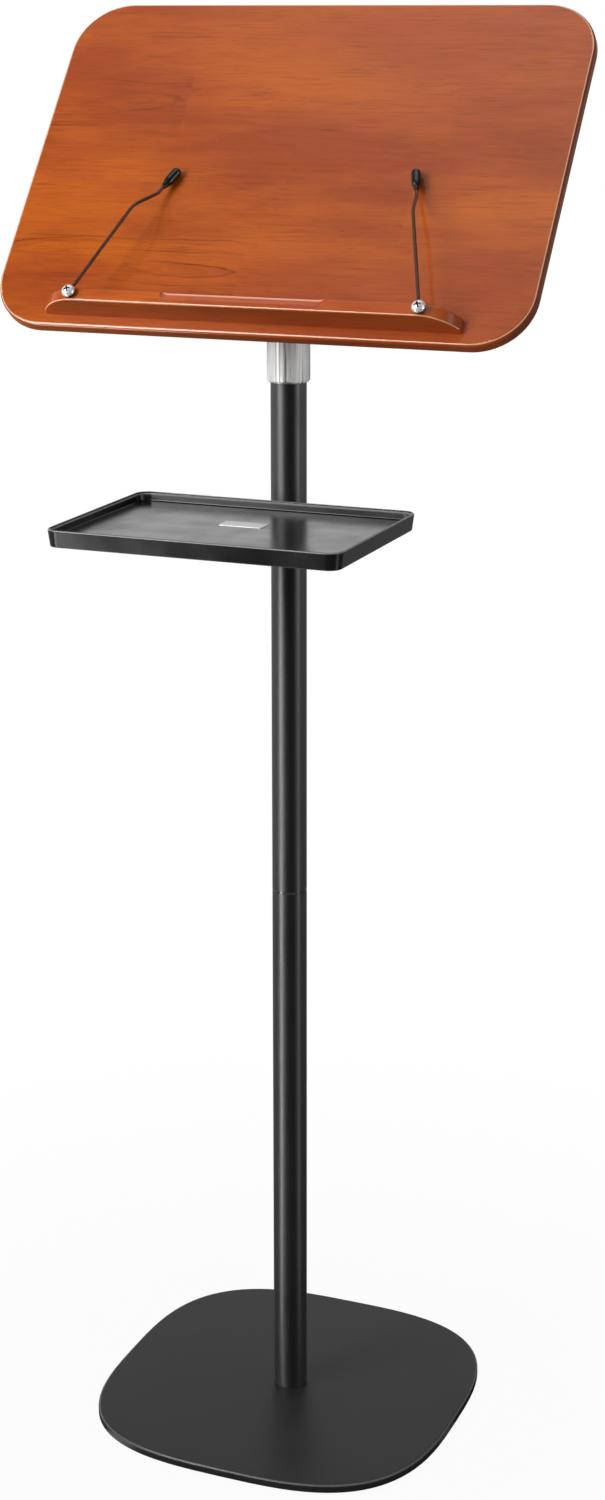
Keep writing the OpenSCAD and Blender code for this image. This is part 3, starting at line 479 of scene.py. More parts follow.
# Tilt nut and arm inserts: turned brass bushes, moulded into the knob and screwed into
# the ledge.
brass = plated_steel("turned_brass", (0.72, 0.5, 0.2), 0.28, 0.05)
give(brass, "tilt_nut", "arm_inserts")


# Desk board: 12 mm solid wood, edges rounded, stained cherry and sprayed with a semi-gloss
# lacquer. The grain runs across the board, with two pointed figures at its left.
PIVOT = Vector((0, 0, 1101.5)) * MM
TILT = math.radians(52)
FRONT = (0, -math.sin(TILT), math.cos(TILT))
DOWNHILL = (0, -math.cos(TILT), -math.sin(TILT))
desk_place = Matrix.Translation(PIVOT) @ Matrix.Rotation(TILT, 4, "X")


def vector_sums(tree, operation, first, second=(0, 0, 0)):
    """Sums on vectors; gives a vector, or a number where the operation makes one."""
    made = node(tree, "VectorMath", {0: first, 1: second}, operation=operation)
    return made.outputs["Value" if operation in ("DOT_PRODUCT", "LENGTH") else "Vector"]


def off_line(tree, aside, above):
    """Distance of a point from a line, out of its offsets aside and above."""
    squares = sums(tree, "ADD", times(tree, aside, aside), times(tree, above, above))
    return sums(tree, "SQRT", squares)


def ramp(tree, value, stops):
    """Grey ramp through stops of position and grey."""
    made = node(tree, "ValToRGB", {"Fac": value})
    points = made.color_ramp.elements
    points[0].position, first = stops[0]
    points[0].color = (first, first, first, 1)
    points[1].position, last = stops[-1]
    points[1].color = (last, last, last, 1)
    for position, grey in stops[1:-1]:
        points.new(position).color = (grey, grey, grey, 1)
    return made.outputs["Color"]


def grain_place(tree):
    """The point in the desk's own directions: along the grain, up the slope, out of the board."""
    sockets = {"Vector": own_place(tree), "Location": PIVOT, "Rotation": (TILT, 0, 0)}
    return node(tree, "Mapping", sockets, vector_type="TEXTURE").outputs["Vector"]


def along_grain(tree, place, along, across, detail, roughness=0.5):
    """Noise drawn out along the grain, with so many patches a metre along and across it."""
    run = stretched(tree, place, (along, across, across))
    return noise(tree, run, 1, detail=detail, roughness=roughness)


# The staves' rows start this share of a stave below the pivot
ROW_SHIFT = 0.268

# Ink across one growth ring, from its early wood to the dark line of its late wood
RING_INK = (
    (0.0, 0.1),
    (0.5, 0.0),
    (0.6, 0.4),
    (0.64, 0.05),
    (0.84, 0.25),
    (0.92, 1.0),
    (0.96, 0.15),
    (1.0, 0.1),
)


def staves(tree, place, split, stave_height, stave_length, first_joint):
    """Row and column of the stave at a point, its chance share, and the point in its timber.

    Each stave is its own length of timber; the butt joints step along from row to row.
    """
    joint_step = 0.46
    timber_jump = (0.7, 0.9, 0.8)
    row = sums(tree, "FLOOR", sums(tree, "MULTIPLY_ADD", split["Y"], 1 / stave_height, ROW_SHIFT))
    slide = sums(tree, "FRACT", sums(tree, "MULTIPLY_ADD", row, joint_step, first_joint))
    column = sums(tree, "FLOOR", sums(tree, "MULTIPLY_ADD", split["X"], 1 / stave_length, slide))
    stave = node(tree, "CombineXYZ", {"X": row, "Y": column}).outputs["Vector"]
    chance = node(tree, "TexWhiteNoise", {"Vector": stave}, noise_dimensions="2D").outputs["Color"]
    pick = node(tree, "SeparateColor", {"Color": chance}).outputs["Red"]
    timber = vector_sums(tree, "ADD", place, vector_sums(tree, "MULTIPLY", chance, timber_jump))
    return row, column, pick, timber


def growth_rings(tree, split, timber, row, column, stave_height, figures):
    """Ink of the rings: faint straight lines, and pointed figures on the staves in figures.

    Straight grain lies far from the pith; under a figure the pith sinks from its start.
    """
    pith_off, pith_slope = 260 * MM, 0.12
    sway_reach = 11 * MM
    rings_per_metre, ring_wander = 100.0, 0.55
    figure_ink, straight_ink = 0.8, 0.06
    pointed, start = 0.0, 0.0
    for figure_row, figure_column, figure_start in figures:
        same_row = sums(tree, "COMPARE", row, figure_row, 0.5)
        hit = times(tree, same_row, sums(tree, "COMPARE", column, figure_column, 0.5))
        pointed = sums(tree, "ADD", hit, pointed)
        start = sums(tree, "MULTIPLY_ADD", hit, figure_start, start)
    centre = times(tree, sums(tree, "ADD", row, 0.5 - ROW_SHIFT), stave_height)
    sway = along_grain(tree, timber, 5, 16, detail=3, roughness=0.55)
    drift = sums(tree, "MULTIPLY_ADD", sway, 2 * sway_reach, -sway_reach)
    across = sums(tree, "ADD", sums(tree, "SUBTRACT", split["Y"], centre), drift)
    across = sums(tree, "MULTIPLY_ADD", sums(tree, "SUBTRACT", 1.0, pointed), pith_off, across)
    below = times(tree, sums(tree, "SUBTRACT", split["X"], start), pith_slope)
    turns = times(tree, off_line(tree, across, below), rings_per_metre)
    wander = along_grain(tree, timber, 16, 90, detail=4, roughness=0.6)
    count = sums(tree, "MULTIPLY_ADD", wander, ring_wander, turns)
    late = ramp(tree, sums(tree, "FRACT", count), RING_INK)
    patchy = along_grain(tree, timber, 7, 24, detail=3)
    strength = sums(tree, "MULTIPLY_ADD", pointed, figure_ink, straight_ink)
    return times(tree, times(tree, late, strength), between(tree, patchy, 0.15, 1, 0.4, 0.62))


def stained_wood(name, staved, first_joint, figures, tint, lacquer, end_stain, arris_way, arris):
    """Stained wood glued up from staves: growth rings, fibre streaks, pores, dark end grain.

    staved is the staves' height and length. figures names the staves with a pointed figure,
    by row and column, and where it starts. A pale line painted on the arris, a painted
    highlight of the rounded edge, lies where the surface faces arris_way by a share inside
    the window arris.
    """
    light = shade((0.56, 0.122, 0.0115), tint)
    deep = shade((0.36, 0.06, 0.009), tint)
    red = shade((0.41, 0.078, 0.022), tint)
    end_grain, arris_highlight_colour = (0.2, 0.06, 0.035), (0.95, 0.56, 0.34)
    arris_highlight_share, grain_depth = 0.85, 0.02 * MM
    made, tree, shader = new_finish(name)
    place = grain_place(tree)
    split = split_up(tree, place)
    row, column, pick, timber = staves(tree, place, split, *staved, first_joint)
    ring_ink = growth_rings(tree, split, timber, row, column, staved[0], figures)

    fibres = along_grain(tree, timber, 26, 430, detail=4, roughness=0.7)
    busy = along_grain(tree, timber, 12, 45, detail=3)
    fibre_ink = between(tree, fibres, 0.0, 0.7, 0.47, 0.76)
    fibre_ink = times(tree, fibre_ink, between(tree, busy, 0.25, 1, 0.35, 0.65))
    pores = along_grain(tree, timber, 80, 1000, detail=2)
    pore_ink = between(tree, pores, 0.0, 0.36, 0.63, 0.74)

    # The stain takes deeper on some staves, in blotches, and redder in broad clouds
    blotches = along_grain(tree, place, 4, 17, detail=5, roughness=0.6)
    broad = along_grain(tree, place, 2.2, 3.6, detail=2)
    depth = sums(tree, "MULTIPLY_ADD", pick, 0.2, between(tree, blotches, 0, 1, 0.4, 0.66))
    body = mixed(tree, depth, light, deep)
    body = mixed(tree, between(tree, broad, 0, 0.7, 0.42, 0.68), body, red)
    body = mixed(tree, ring_ink, body, shade(deep, 0.32))
    body = mixed(tree, fibre_ink, body, shade(deep, 0.5))
    body = mixed(tree, pore_ink, body, shade(deep, 0.4))

    # End grain, left and right, drinks most stain; a pale line painted on each arris is a painted
    # highlight
    facing = node(tree, "TexCoord").outputs["Normal"]
    turned_to = split_up(tree, facing)
    end_ink = between(tree, sums(tree, "ABSOLUTE", turned_to["X"]), 0.0, end_stain, 0.45, 0.75)
    body = mixed(tree, end_ink, body, end_grain)
    arris_highlight = window(tree, vector_sums(tree, "DOT_PRODUCT", facing, arris_way), *arris)
    body = mixed(tree, times(tree, arris_highlight, arris_highlight_share), body, arris_highlight_colour)

    # The lacquer sinks into the end grain and is thin on faces that look down
    sheen = between(tree, end_ink, 1.0, 0.0, 0.0, 0.85)
    sheen = times(tree, sheen, between(tree, turned_to["Z"], 0.25, 1.0, -0.65, -0.35))
    relief = sums(tree, "ADD", times(tree, fibre_ink, -0.5), times(tree, pore_ink, -1))
    wire(
        tree,
        shader,
        Base_Color=body,
        Roughness=between(tree, blotches, 0.36, 0.46, 0.3, 0.7),
        Specular_IOR_Level=0.06,
        Normal=bump(tree, relief, grain_depth, 0.6),
        Coat_Weight=times(tree, sheen, lacquer),
        Coat_Roughness=0.12,
    )
    return made


board_wood = stained_wood(
    "board_cherry",
    staved=(56 * MM, 250 * MM),
    first_joint=0.54,
    figures=((2, -1, -258 * MM), (-1, -1, -77 * MM)),
    tint=1.0,
    lacquer=0.9,
    end_stain=0.9,
    arris_way=FRONT,
    arris=(0.78, 0.86, 0.92, 0.975),
)
give(board_wood, "desk_board")


# Ledge: the same wood, square to the board, with rounded front edges, ends that curve
# back and a pen scoop. Three screws hold it from behind.
ledge_wood = stained_wood(
    "ledge_cherry",
    staved=(80 * MM, 600 * MM),
    first_joint=0.5,
    figures=(),
    tint=1.15,
    lacquer=0.7,
    end_stain=0.3,
    arris_way=DOWNHILL,
    arris=(0.2, 0.35, 0.6, 0.75),
)
give(ledge_wood, "book_ledge")
ease_edges(0.7 * MM, "book_ledge", steps=3)

# The routed scoop is painted darker and redder, a painted shade of the hollow, and a pale line on its
# back edge is a painted highlight
SCOOP_EDGE_Y, SCOOP_EDGE_Z = -83.5 * MM, 62 * MM
SCOOP_HALF, SCOOP_FADE = 73 * MM, 2 * MM
BEHIND_EDGE = (1 * MM, 3 * MM)
BEFORE_EDGE = (-11.5 * MM, -10 * MM)
SCOOP_HIGHLIGHT_WIDTH, SCOOP_HIGHLIGHT_FADED = 0.9 * MM, 2.1 * MM
LEDGE_TOP = 65 * MM
SCOOP_SHADE_FULL, SCOOP_SHADE_FROM = 1.2 * MM, 0.3 * MM
SCOOP_PAINTED_SHADE, SCOOP_PAINTED_HIGHLIGHT = (0.42, 0.075, 0.035), (0.85, 0.42, 0.32)
tree = ledge_wood.node_tree
split = split_up(tree, grain_place(tree))
off_y = sums(tree, "SUBTRACT", split["Y"], SCOOP_EDGE_Y)
off_z = sums(tree, "SUBTRACT", split["Z"], SCOOP_EDGE_Z)
scoop_highlight = between(tree, off_line(tree, off_y, off_z), 0.95, 0.0, SCOOP_HIGHLIGHT_WIDTH, SCOOP_HIGHLIGHT_FADED)
off_middle = sums(tree, "ABSOLUTE", split["X"])
along = between(tree, off_middle, 1.0, 0.0, SCOOP_HALF - SCOOP_FADE, SCOOP_HALF + SCOOP_FADE)
hollow_shade = between(tree, split["Z"], 0.3, 0.0, LEDGE_TOP - SCOOP_SHADE_FULL, LEDGE_TOP - SCOOP_SHADE_FROM)
hollow_shade = times(tree, hollow_shade, between(tree, off_y, 1, 0, *BEHIND_EDGE))
hollow_shade = times(tree, hollow_shade, between(tree, off_y, 0, 1, *BEFORE_EDGE))
overlay(ledge_wood, times(tree, hollow_shade, along), SCOOP_PAINTED_SHADE)
# Pale line on the scoop's back edge: a painted highlight
overlay(ledge_wood, times(tree, scoop_highlight, along), SCOOP_PAINTED_HIGHLIGHT)


# Page holders: 3 mm sprung wire, lacquered dark bronze. One end is bent round the screw
# as an eye; the other steps in to the board and carries a rubber tip.
def lofted(name, rings, finish):
    """Mesh through rings of points, each with the same count, its two ends filled."""
    count = len(rings[0])
    points = [tuple(point) for ring in rings for point in ring]
    faces = []
    for a in range(0, len(points) - count, count):
        b = a + count
        for i in range(count):
            j = (i + 1) % count
            faces.append((a + i, a + j, b + j, b + i))
    faces.append(tuple(reversed(range(count))))
    faces.append(tuple(range(len(points) - count, len(points))))
    data = bpy.data.meshes.new(name)
    data.from_pydata(points, [], faces)
    smooth_faces(data)
    data.materials.append(finish)
    made = bpy.data.objects.new(name, data)
    bpy.context.scene.collection.objects.link(made)
    return made


def stand_for(piece, slot_name, *names):
    """The piece rides with these CAD nodes' body and is shown in their place."""
    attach(piece, cad[names[0]]["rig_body"])
    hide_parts(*names)


def circle_ring(centre, across, up, radius, sides):
    """Ring of points round a centre, in the plane of across and up."""
    turns = [math.tau * i / sides for i in range(sides)]
    return [centre + radius * (math.cos(t) * across + math.sin(t) * up) for t in turns]


def rounded_path(corners, radii, steps=8):
    """The corners with each inner one turned into an arc of its radius."""
    path = [corners[0]]
    for radius, before, corner, after in zip(radii, corners, corners[1:], corners[2:]):
        come, go = (corner - before).normalized(), (after - corner).normalized()
        turn = come.angle(go)
        setback = radius * math.tan(turn / 2)
        centre = corner + (go - come).normalized() * radius / math.cos(turn / 2)
        start = corner - come * setback - centre
        axis = come.cross(go)
        for k in range(steps + 1):
            path.append(centre + Matrix.Rotation(turn * k / steps, 3, axis) @ start)
    return path + [corners[-1]]


def rod_rings(path, radius, sides=20):
    """Rings round a path, carried along without twist, with softened ends."""
    end_radius, end_length = 0.75 * radius, 0.25 * radius
    rings = []
    heading = (path[1] - path[0]).normalized()
    across = heading.orthogonal().normalized()
    last = len(path) - 1
    for k, point in enumerate(path):
        now = (path[min(k + 1, last)] - path[max(k - 1, 0)]).normalized()
        across = (heading.rotation_difference(now) @ across).normalized()
        heading = now
        up = heading.cross(across)
        if k == 0:
            rings.append(circle_ring(point, across, up, end_radius, sides))
            rings.append(circle_ring(point + heading * end_length, across, up, radius, sides))
        elif k == last:
            rings.append(circle_ring(point - heading * end_length, across, up, radius, sides))
            rings.append(circle_ring(point, across, up, end_radius, sides))
        else:
            rings.append(circle_ring(point, across, up, radius, sides))
    return rings


def lacquered_wire():
    """Dark bronze lacquer on drawn wire: smooth, with faint runs along it."""
    runs_per_metre = 260
    run_depth = 0.01 * MM
    made, tree, shader = new_finish("bronze_lacquer")
    runs = noise(tree, own_place(tree), runs_per_metre, detail=3)
    wire(
        tree,
        shader,
        Base_Color=mixed(tree, runs, (0.06, 0.022, 0.012), (0.11, 0.043, 0.023)),
        Roughness=between(tree, runs, 0.24, 0.34),
        Normal=bump(tree, runs, run_depth),
        Specular_IOR_Level=0.35,
    )
    return made


# In millimetres: the wire runs out from its screw, and heights are above the board's face
WIRE_R = 1.5
EYE_R = 4.05
EYE_START, EYE_STOP, EYE_STEP = 335, 60, 11
EYE_EXIT = 8.1
WIRE_HEIGHT = 26.8
STEP_FROM, STEP_TO, FOOT_TO = (96, WIRE_HEIGHT), (122, 9), (152, 4.6)
WIRE_BENDS = (9, 20, 9)
TIP_ROOT = 7.5
WIRE_IN_TIP = 14.4
ARM_X, ARM_Y, BOARD_FRONT = 158, -89.25, 40
LEANS = {"left": (-1, 22), "right": (1, 16)}

wire_lacquer = lacquered_wire()
foot_heading = Vector((FOOT_TO[0] - STEP_TO[0], 0, FOOT_TO[1] - STEP_TO[1])).normalized()
tip_root = Vector((STEP_TO[0], 0, STEP_TO[1])) + foot_heading * TIP_ROOT
eye = []
for degrees in range(EYE_START, EYE_STOP - 1, -EYE_STEP):
    turn = math.radians(degrees)
    eye.append(Vector((EYE_R * math.cos(turn), EYE_R * math.sin(turn), WIRE_HEIGHT)))
shaft = rounded_path(
    [
        eye[-1],
        Vector((EYE_EXIT, 0, WIRE_HEIGHT)),
        Vector((STEP_FROM[0], 0, STEP_FROM[1])),
        Vector((STEP_TO[0], 0, STEP_TO[1])),
        tip_root + foot_heading * WIRE_IN_TIP,
    ],
    WIRE_BENDS,
)
arm_places = {}
for side, (sign, lean) in LEANS.items():
    arm_places[side] = (
        desk_place
        @ Matrix.Translation(Vector((sign * ARM_X, ARM_Y, BOARD_FRONT)) * MM)
        @ Matrix.Rotation(math.radians(90 + sign * lean), 4, "Z")
        @ Matrix.Scale(MM, 4)
    )
    rod = lofted(f"page_wire_{side}", rod_rings(eye + shaft[1:], WIRE_R), wire_lacquer)
    rod.data.transform(arm_places[side])
    stand_for(rod, "wire_black", f"page_arm_{side}")


# Rubber tips: slim-necked caps dipped over the ends of the wires, so that they hold a
# page without marking it.
def turned(name, profile, finish, sides=48):
    """Solid turned about Z from a profile of (radius, height), ends on the axis."""
    hair = 0.01
    right, away = Vector((1, 0, 0)), Vector((0, 1, 0))
    rings = []
    for radius, height in profile:
        rings.append(circle_ring(Vector((0, 0, height)), right, away, max(radius, hair), sides))
    return lofted(name, rings, finish)


def arc(centre, radius, start, stop, steps):
    """Points of a flat arc, from start to stop degrees."""
    turns = [math.radians(start + (stop - start) * k / steps) for k in range(steps + 1)]
    return [(centre[0] + radius * math.cos(t), centre[1] + radius * math.sin(t)) for t in turns]


TIP_R, TIP_NECK_R, TIP_TAPER, TAPER_STEPS = 4.2, 2.3, 9, 8
TIP_LIP, TIP_MOUTH, TIP_SHOULDER = 0.4, 0.3, 1.5
WIRE_GAP = 0.05
tip_length = (Vector((FOOT_TO[0], 0, FOOT_TO[1])) - tip_root).length
tip_profile = [(WIRE_R + WIRE_GAP, TIP_MOUTH)]
tip_profile += arc((TIP_NECK_R - TIP_LIP, TIP_LIP), TIP_LIP, -90, 0, 3)
for k in range(1, TAPER_STEPS + 1):
    swell = (1 - math.cos(math.pi * k / TAPER_STEPS)) / 2
    tip_profile.append((TIP_NECK_R + (TIP_R - TIP_NECK_R) * swell, TIP_TAPER * k / TAPER_STEPS))
tip_profile += [(TIP_R, tip_length - TIP_R - TIP_SHOULDER)]
tip_profile += arc((0, tip_length - TIP_R), TIP_R, 0, 88, 10)
tip_rubber = rubber("tip_rubber", (0.01, 0.01, 0.011), 0.2)
tip_turn = Vector((0, 0, 1)).rotation_difference(foot_heading).to_matrix().to_4x4()
for side in LEANS:
    tip = turned(f"page_tip_{side}", tip_profile, tip_rubber)
    tip.data.transform(arm_places[side] @ Matrix.Translation(tip_root) @ tip_turn)
    stand_for(tip, "rubber", f"arm_tip_{side}")


# Page holder screws: chromed domed heads with a cross recess, screwed into brass inserts.
# The wire's eye turns on the shank.
def carve(piece, *cutters):
    """Cuts the cutters out of a piece for good, and removes them."""
    for cutter in cutters:
        cut = piece.modifiers.new("cut", "BOOLEAN")
        cut.operation = "DIFFERENCE"
        cut.solver = "EXACT"
        cut.material_mode = "TRANSFER"
        cut.object = cutter
    bpy.context.view_layer.update()
    cut_piece = piece.evaluated_get(bpy.context.evaluated_depsgraph_get())
    shaped = bpy.data.meshes.new_from_object(cut_piece)
    piece.modifiers.clear()
    piece.data = shaped
    for cutter in cutters:
        bpy.data.objects.remove(cutter)


def placed(x, y, z):
    """Puts a mesh that was drawn in millimetres at a place in millimetres."""
    return Matrix.Translation(Vector((x, y, z)) * MM) @ Matrix.Scale(MM, 4)


def chrome(name, level, metallic, roughness):
    """Bright plating with a trace of handling haze."""
    haze_per_metre = 300
    made, tree, shader = new_finish(name)
    haze = noise(tree, own_place(tree), haze_per_metre, detail=4, roughness=0.6)
    wire(
        tree,
        shader,
        Base_Color=(level, level, level, 1),
        Metallic=metallic,
        Roughness=between(tree, haze, roughness, roughness + 0.07, 0.35, 0.7),
    )
    return made


screw_chrome = chrome("polished_chrome", 1.0, 0.4, 0.1)
# The cross recess takes a near-black finish: painted shade in its slots
recess_painted_shade = chrome("recess_painted_shade", 0.03, 0.0, 0.5)

# In millimetres: heights are above the head's seat on the wire, SEAT above the board's face
HEAD_R, HEAD_H, HEAD_RIM, HEAD_CHAMFER = 5.9, 4.6, 0.5, 0.2
SHANK_R, SHANK_LEN, SHANK_CHAMFER = 2.5, 13.9, 0.5
SEAT = 28.6
RECESS_W, RECESS_LEN, RECESS_DEPTH, RECESS_TURN = 1.7, 7.6, 1.8, 20
dome_h = HEAD_H - HEAD_RIM
dome_r = (HEAD_R**2 + dome_h**2) / (2 * dome_h)
dome_edge = math.degrees(math.asin(HEAD_R / dome_r))
head_profile = [
    (0, -SHANK_LEN),
    (SHANK_R - SHANK_CHAMFER, -SHANK_LEN),
    (SHANK_R, -SHANK_LEN + SHANK_CHAMFER),
    (SHANK_R, 0),
    (HEAD_R - HEAD_CHAMFER, 0),
    (HEAD_R, HEAD_CHAMFER),
    (HEAD_R, HEAD_RIM),
]
head_profile += arc((0, HEAD_H - dome_r), dome_r, 90 - dome_edge, 89.8, 14)[1:]


def cross_cutter(turn):
    """One tapered slot of the cross recess, narrower and shorter at its floor."""
    floor_share, mouth_share, mouth_over = 0.62, 1.06, 0.4
    rings = []
    for height, share in (
        (HEAD_H - RECESS_DEPTH, floor_share),
        (HEAD_H + mouth_over, mouth_share),
    ):
        x, y = RECESS_LEN / 2 * share, RECESS_W / 2 * (0.35 + 0.65 * share)
        corners = ((-x, -y), (x, -y), (x, y), (-x, y))
        rings.append([Vector((*corner, height)) for corner in corners])
    made = lofted("cutter", rings, recess_painted_shade)
    made.data.transform(Matrix.Rotation(math.radians(turn), 4, "Z"))
    return made


for side, (sign, _) in LEANS.items():
    screw = turned(f"holder_screw_{side}", head_profile, screw_chrome, sides=64)
    carve(screw, cross_cutter(RECESS_TURN), cross_cutter(RECESS_TURN + 90))
    screw.data.transform(desk_place @ placed(sign * ARM_X, ARM_Y, BOARD_FRONT + SEAT))
    soften(screw, 0.12 * MM, 2, degrees=35)
    stand_for(screw, "screw_chrome", f"arm_screw_{side}")


# Tray: one moulding with a raised floor, a stepped rim and a skirt that hides the clamp's
# arm. Satin black plastic; four posts below take the screws.
def outline(width, depth, radius, height, steps=8):
    """Ring of points round a rectangle with rounded corners."""
    ring = []
    for quarter, (sx, sy) in enumerate(((1, 1), (-1, 1), (-1, -1), (1, -1))):
        middle = (sx * (width / 2 - radius), sy * (depth / 2 - radius))
        start = 90 * quarter
        ring += [Vector((x, y, height)) for x, y in arc(middle, radius, start, start + 90, steps)]
    return ring


def filleted(corners, steps=4):
    """Flat path through (x, y, radius) corners, each rounded by its radius."""
    path = []
    last = len(corners) - 1
    for k, (x, y, radius) in enumerate(corners):
        here = Vector((x, y, 0))
        if k in (0, last) or radius == 0:
            path.append(here)
            continue
        before, after = Vector((*corners[k - 1][:2], 0)), Vector((*corners[k + 1][:2], 0))
        path += rounded_path([before, here, after], [radius], steps)[1:-1]
    return path


TRAY_W, TRAY_D, TRAY_CORNER = 264, 190, 13
TRAY_Y, TRAY_Z, TRAY_H = -123, 874, 15
FLOOR_TOP, FLOOR_LOW = 7, 4

# The moulding's section, from below its floor, over the rim and back on the floor: how far
# in from the outer edge, how high, and how rounded
tray_section = [
    (20, FLOOR_LOW, 0),
    (4.6, FLOOR_LOW, 0.8),
    (4.6, 0, 0.4),
    (2, 0, 1.0),
    (0, TRAY_H, 1.2),
    (1.9, TRAY_H, 0.5),
    (1.9, 13.7, 0.3),
    (2.8, 12.6, 0.3),
    (3.67, FLOOR_TOP, 1.2),
    (20, FLOOR_TOP, 0),
]
tray_rings = []
for point in filleted(tray_section, steps=6):
    inset, height = point.x, point.y
    corner = max(TRAY_CORNER - inset, 1)
    tray_rings.append(outline(TRAY_W - 2 * inset, TRAY_D - 2 * inset, corner, height))
tray_satin = moulded_plastic("tray_satin", (0.012, 0.012, 0.0125), 0.22, 0.004 * MM)

# A paler grey painted on the two edges of the tray's rim is a painted highlight
RIM_FROM, RIM_TO = TRAY_Z + 11, TRAY_Z + 13
RIM_EDGE = (0.12, 0.35, 0.8, 0.97)
RIM_PAINTED_HIGHLIGHT = (0.24, 0.24, 0.245)
tree, shader = inside(tray_satin)
edge = window(tree, facing_up(tree), *RIM_EDGE)
edge = times(tree, edge, between(tree, height_on(tree), 0, 1, RIM_FROM * MM, RIM_TO * MM))
overlay(tray_satin, edge, RIM_PAINTED_HIGHLIGHT)
wire(tree, shader, Specular_IOR_Level=0.38)
tray = lofted("tray_moulding", tray_rings, tray_satin)

BADGE_W, BADGE_D, BADGE_Y, BADGE_CORNER = 40, 18, 22, 1.5
BADGE_GAP, BADGE_SINK = 0.3, 0.4
well = [
    outline(BADGE_W + 2 * BADGE_GAP, BADGE_D + 2 * BADGE_GAP, BADGE_CORNER + BADGE_GAP, height)
    for height in (FLOOR_TOP - BADGE_SINK, FLOOR_TOP + 1)
]
badge_well = lofted("cutter", well, tray_satin)
badge_well.data.transform(Matrix.Translation((0, BADGE_Y, 0)))
carve(tray, badge_well)
tray.data.transform(placed(0, TRAY_Y, TRAY_Z))
smooth_faces(tray.data)
even_normals(tray)
stand_for(tray, "tray_black", "tray")

# Each post stops 1 mm inside the floor, and its hole is for the screw's thread
POST_R, POST_HOLE, POST_X, POST_YS = 6, 2.05, 20, (-60, -148)
POST_TOP = FLOOR_LOW + 1
post_section = [
    (POST_HOLE, POST_TOP, 0),
    (POST_HOLE, 0, 0.3),
    (POST_R, 0, 0.5),
    (POST_R, FLOOR_LOW, 0),
    (POST_R, POST_TOP, 0),
]
post_profile = [(point.x, point.y) for point in filleted(post_section)]
for number, (x, y) in enumerate((x, y) for x in (-POST_X, POST_X) for y in POST_YS):
    post = turned(f"tray_post_{number + 1}", post_profile, tray_satin)
    post.data.transform(placed(x, y, TRAY_Z))
    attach(post, "side_tray")


# Badge: a small bare plate of brushed aluminium, glued into a shallow well in the tray's
# floor. It carries nothing.
def brushed_plate():
    """Aluminium brushed along X."""
    strokes_per_metre = 2600
    strokes_run = (0.03, 1, 1)
    stroke_depth = 0.006 * MM
    made, tree, shader = new_finish("brushed_badge")
    place = stretched(tree, own_place(tree), strokes_run)
    strokes = noise(tree, place, strokes_per_metre, detail=3)
    wire(
        tree,
        shader,
        Base_Color=mixed(tree, strokes, (0.68, 0.68, 0.69), (0.8, 0.8, 0.81)),
        Metallic=1.0,
        Roughness=between(tree, strokes, 0.3, 0.42),
        Normal=bump(tree, strokes, stroke_depth),
    )
    return made


give(brushed_plate(), "tray_badge")
ease_edges(0.15 * MM, "tray_badge")


# Studio: a pale floor that fades to white, two tall soft boxes in front and a faint one
# overhead. To the camera the world is white. In reflections, floor and world are a dim
# room with a brighter backdrop, sides, bands and card, which draw the highlights.
CAMERA_TURN = math.radians(22.35)
backward = Vector((-math.sin(CAMERA_TURN), math.cos(CAMERA_TURN), 0))
rightward = Vector((math.cos(CAMERA_TURN), math.sin(CAMERA_TURN), 0))
LEFT_TURN, RIGHT_TURN = math.radians(60), math.radians(-62)
SIDE_GLOW = 1.9


def way_to(turn):
    """Level direction at that turn to the left of the camera, as seen from the stand."""
    return Matrix.Rotation(-turn, 3, "Z") @ -backward


def ray_kinds(tree):
    """Whether the camera sees the surface itself, and whether it sees it in another one."""
    rays = node(tree, "LightPath").outputs
    reflected = sums(tree, "MAXIMUM", rays["Is Glossy Ray"], rays["Is Transmission Ray"])
    return rays["Is Camera Ray"], reflected


def backdrop_glow(tree, place, near, far, dark, bright):
    """Glow in reflections: dark on the camera's side, bright towards the backdrop."""
    depth = vector_sums(tree, "DOT_PRODUCT", place, backward)
    return between(tree, depth, dark, bright, near, far)


def dim_right(tree, bearing):
    """Share of the backdrop's glow that is left towards the camera's right."""
    aside = vector_sums(tree, "DOT_PRODUCT", bearing, rightward)
    return between(tree, aside, 1.0, 0.35, 0.35, 0.8)


def side_share(tree, bearing):
    """1 towards either side of the stand, 0 towards the camera and the backdrop."""
    off_camera = backdrop_glow(tree, bearing, -0.88, -0.6, 0, 1)
    off_backdrop = backdrop_glow(tree, bearing, 0.2, 0.6, 1, 0)
    return times(tree, off_camera, off_backdrop)


def bright_towards(tree, bearing, turn, edge, core, glow=1):
    """Glow towards that turn: full within core degrees of it, none beyond edge degrees."""
    toward = vector_sums(tree, "DOT_PRODUCT", bearing, way_to(turn))
    outer, inner = math.cos(math.radians(edge)), math.cos(math.radians(core))
    return between(tree, toward, 0, glow, outer, inner)


# Floor: to the camera it turns white away from the stand. In reflections it glows at the
# backdrop, far out at both sides, and in a band under each soft box (turn, near, far glow).
FLOOR_HALF = 15
FLOOR_GREY = (0.6, 0.6, 0.6, 1)
FADE_FROM, FADE_TO, WHITE_AT_STAND = 0.25, 0.9, 0.95
FLOOR_BACKDROP = (-0.4, 1.8, 0.03, 0.4)
SIDES_FROM, SIDES_TO = 6.8, 7.3
FLOOR_BANDS = ((LEFT_TURN, 9.5, 2.4), (RIGHT_TURN, 1.8, 4.8))
BAND_EDGE, BAND_CORE = 8, 2
BAND_NEAR, BAND_FAR = 5.0, 6.5
STAND_DIM, STAND_FROM, STAND_TO = 0.1, 0.2, 0.38
floor_data = bpy.data.meshes.new("floor")
floor_signs = ((-1, -1), (1, -1), (1, 1), (-1, 1))
floor_corners = [(x * FLOOR_HALF, y * FLOOR_HALF, 0) for x, y in floor_signs]
floor_data.from_pydata(floor_corners, [], [(0, 1, 2, 3)])
floor = bpy.data.objects.new("floor", floor_data)
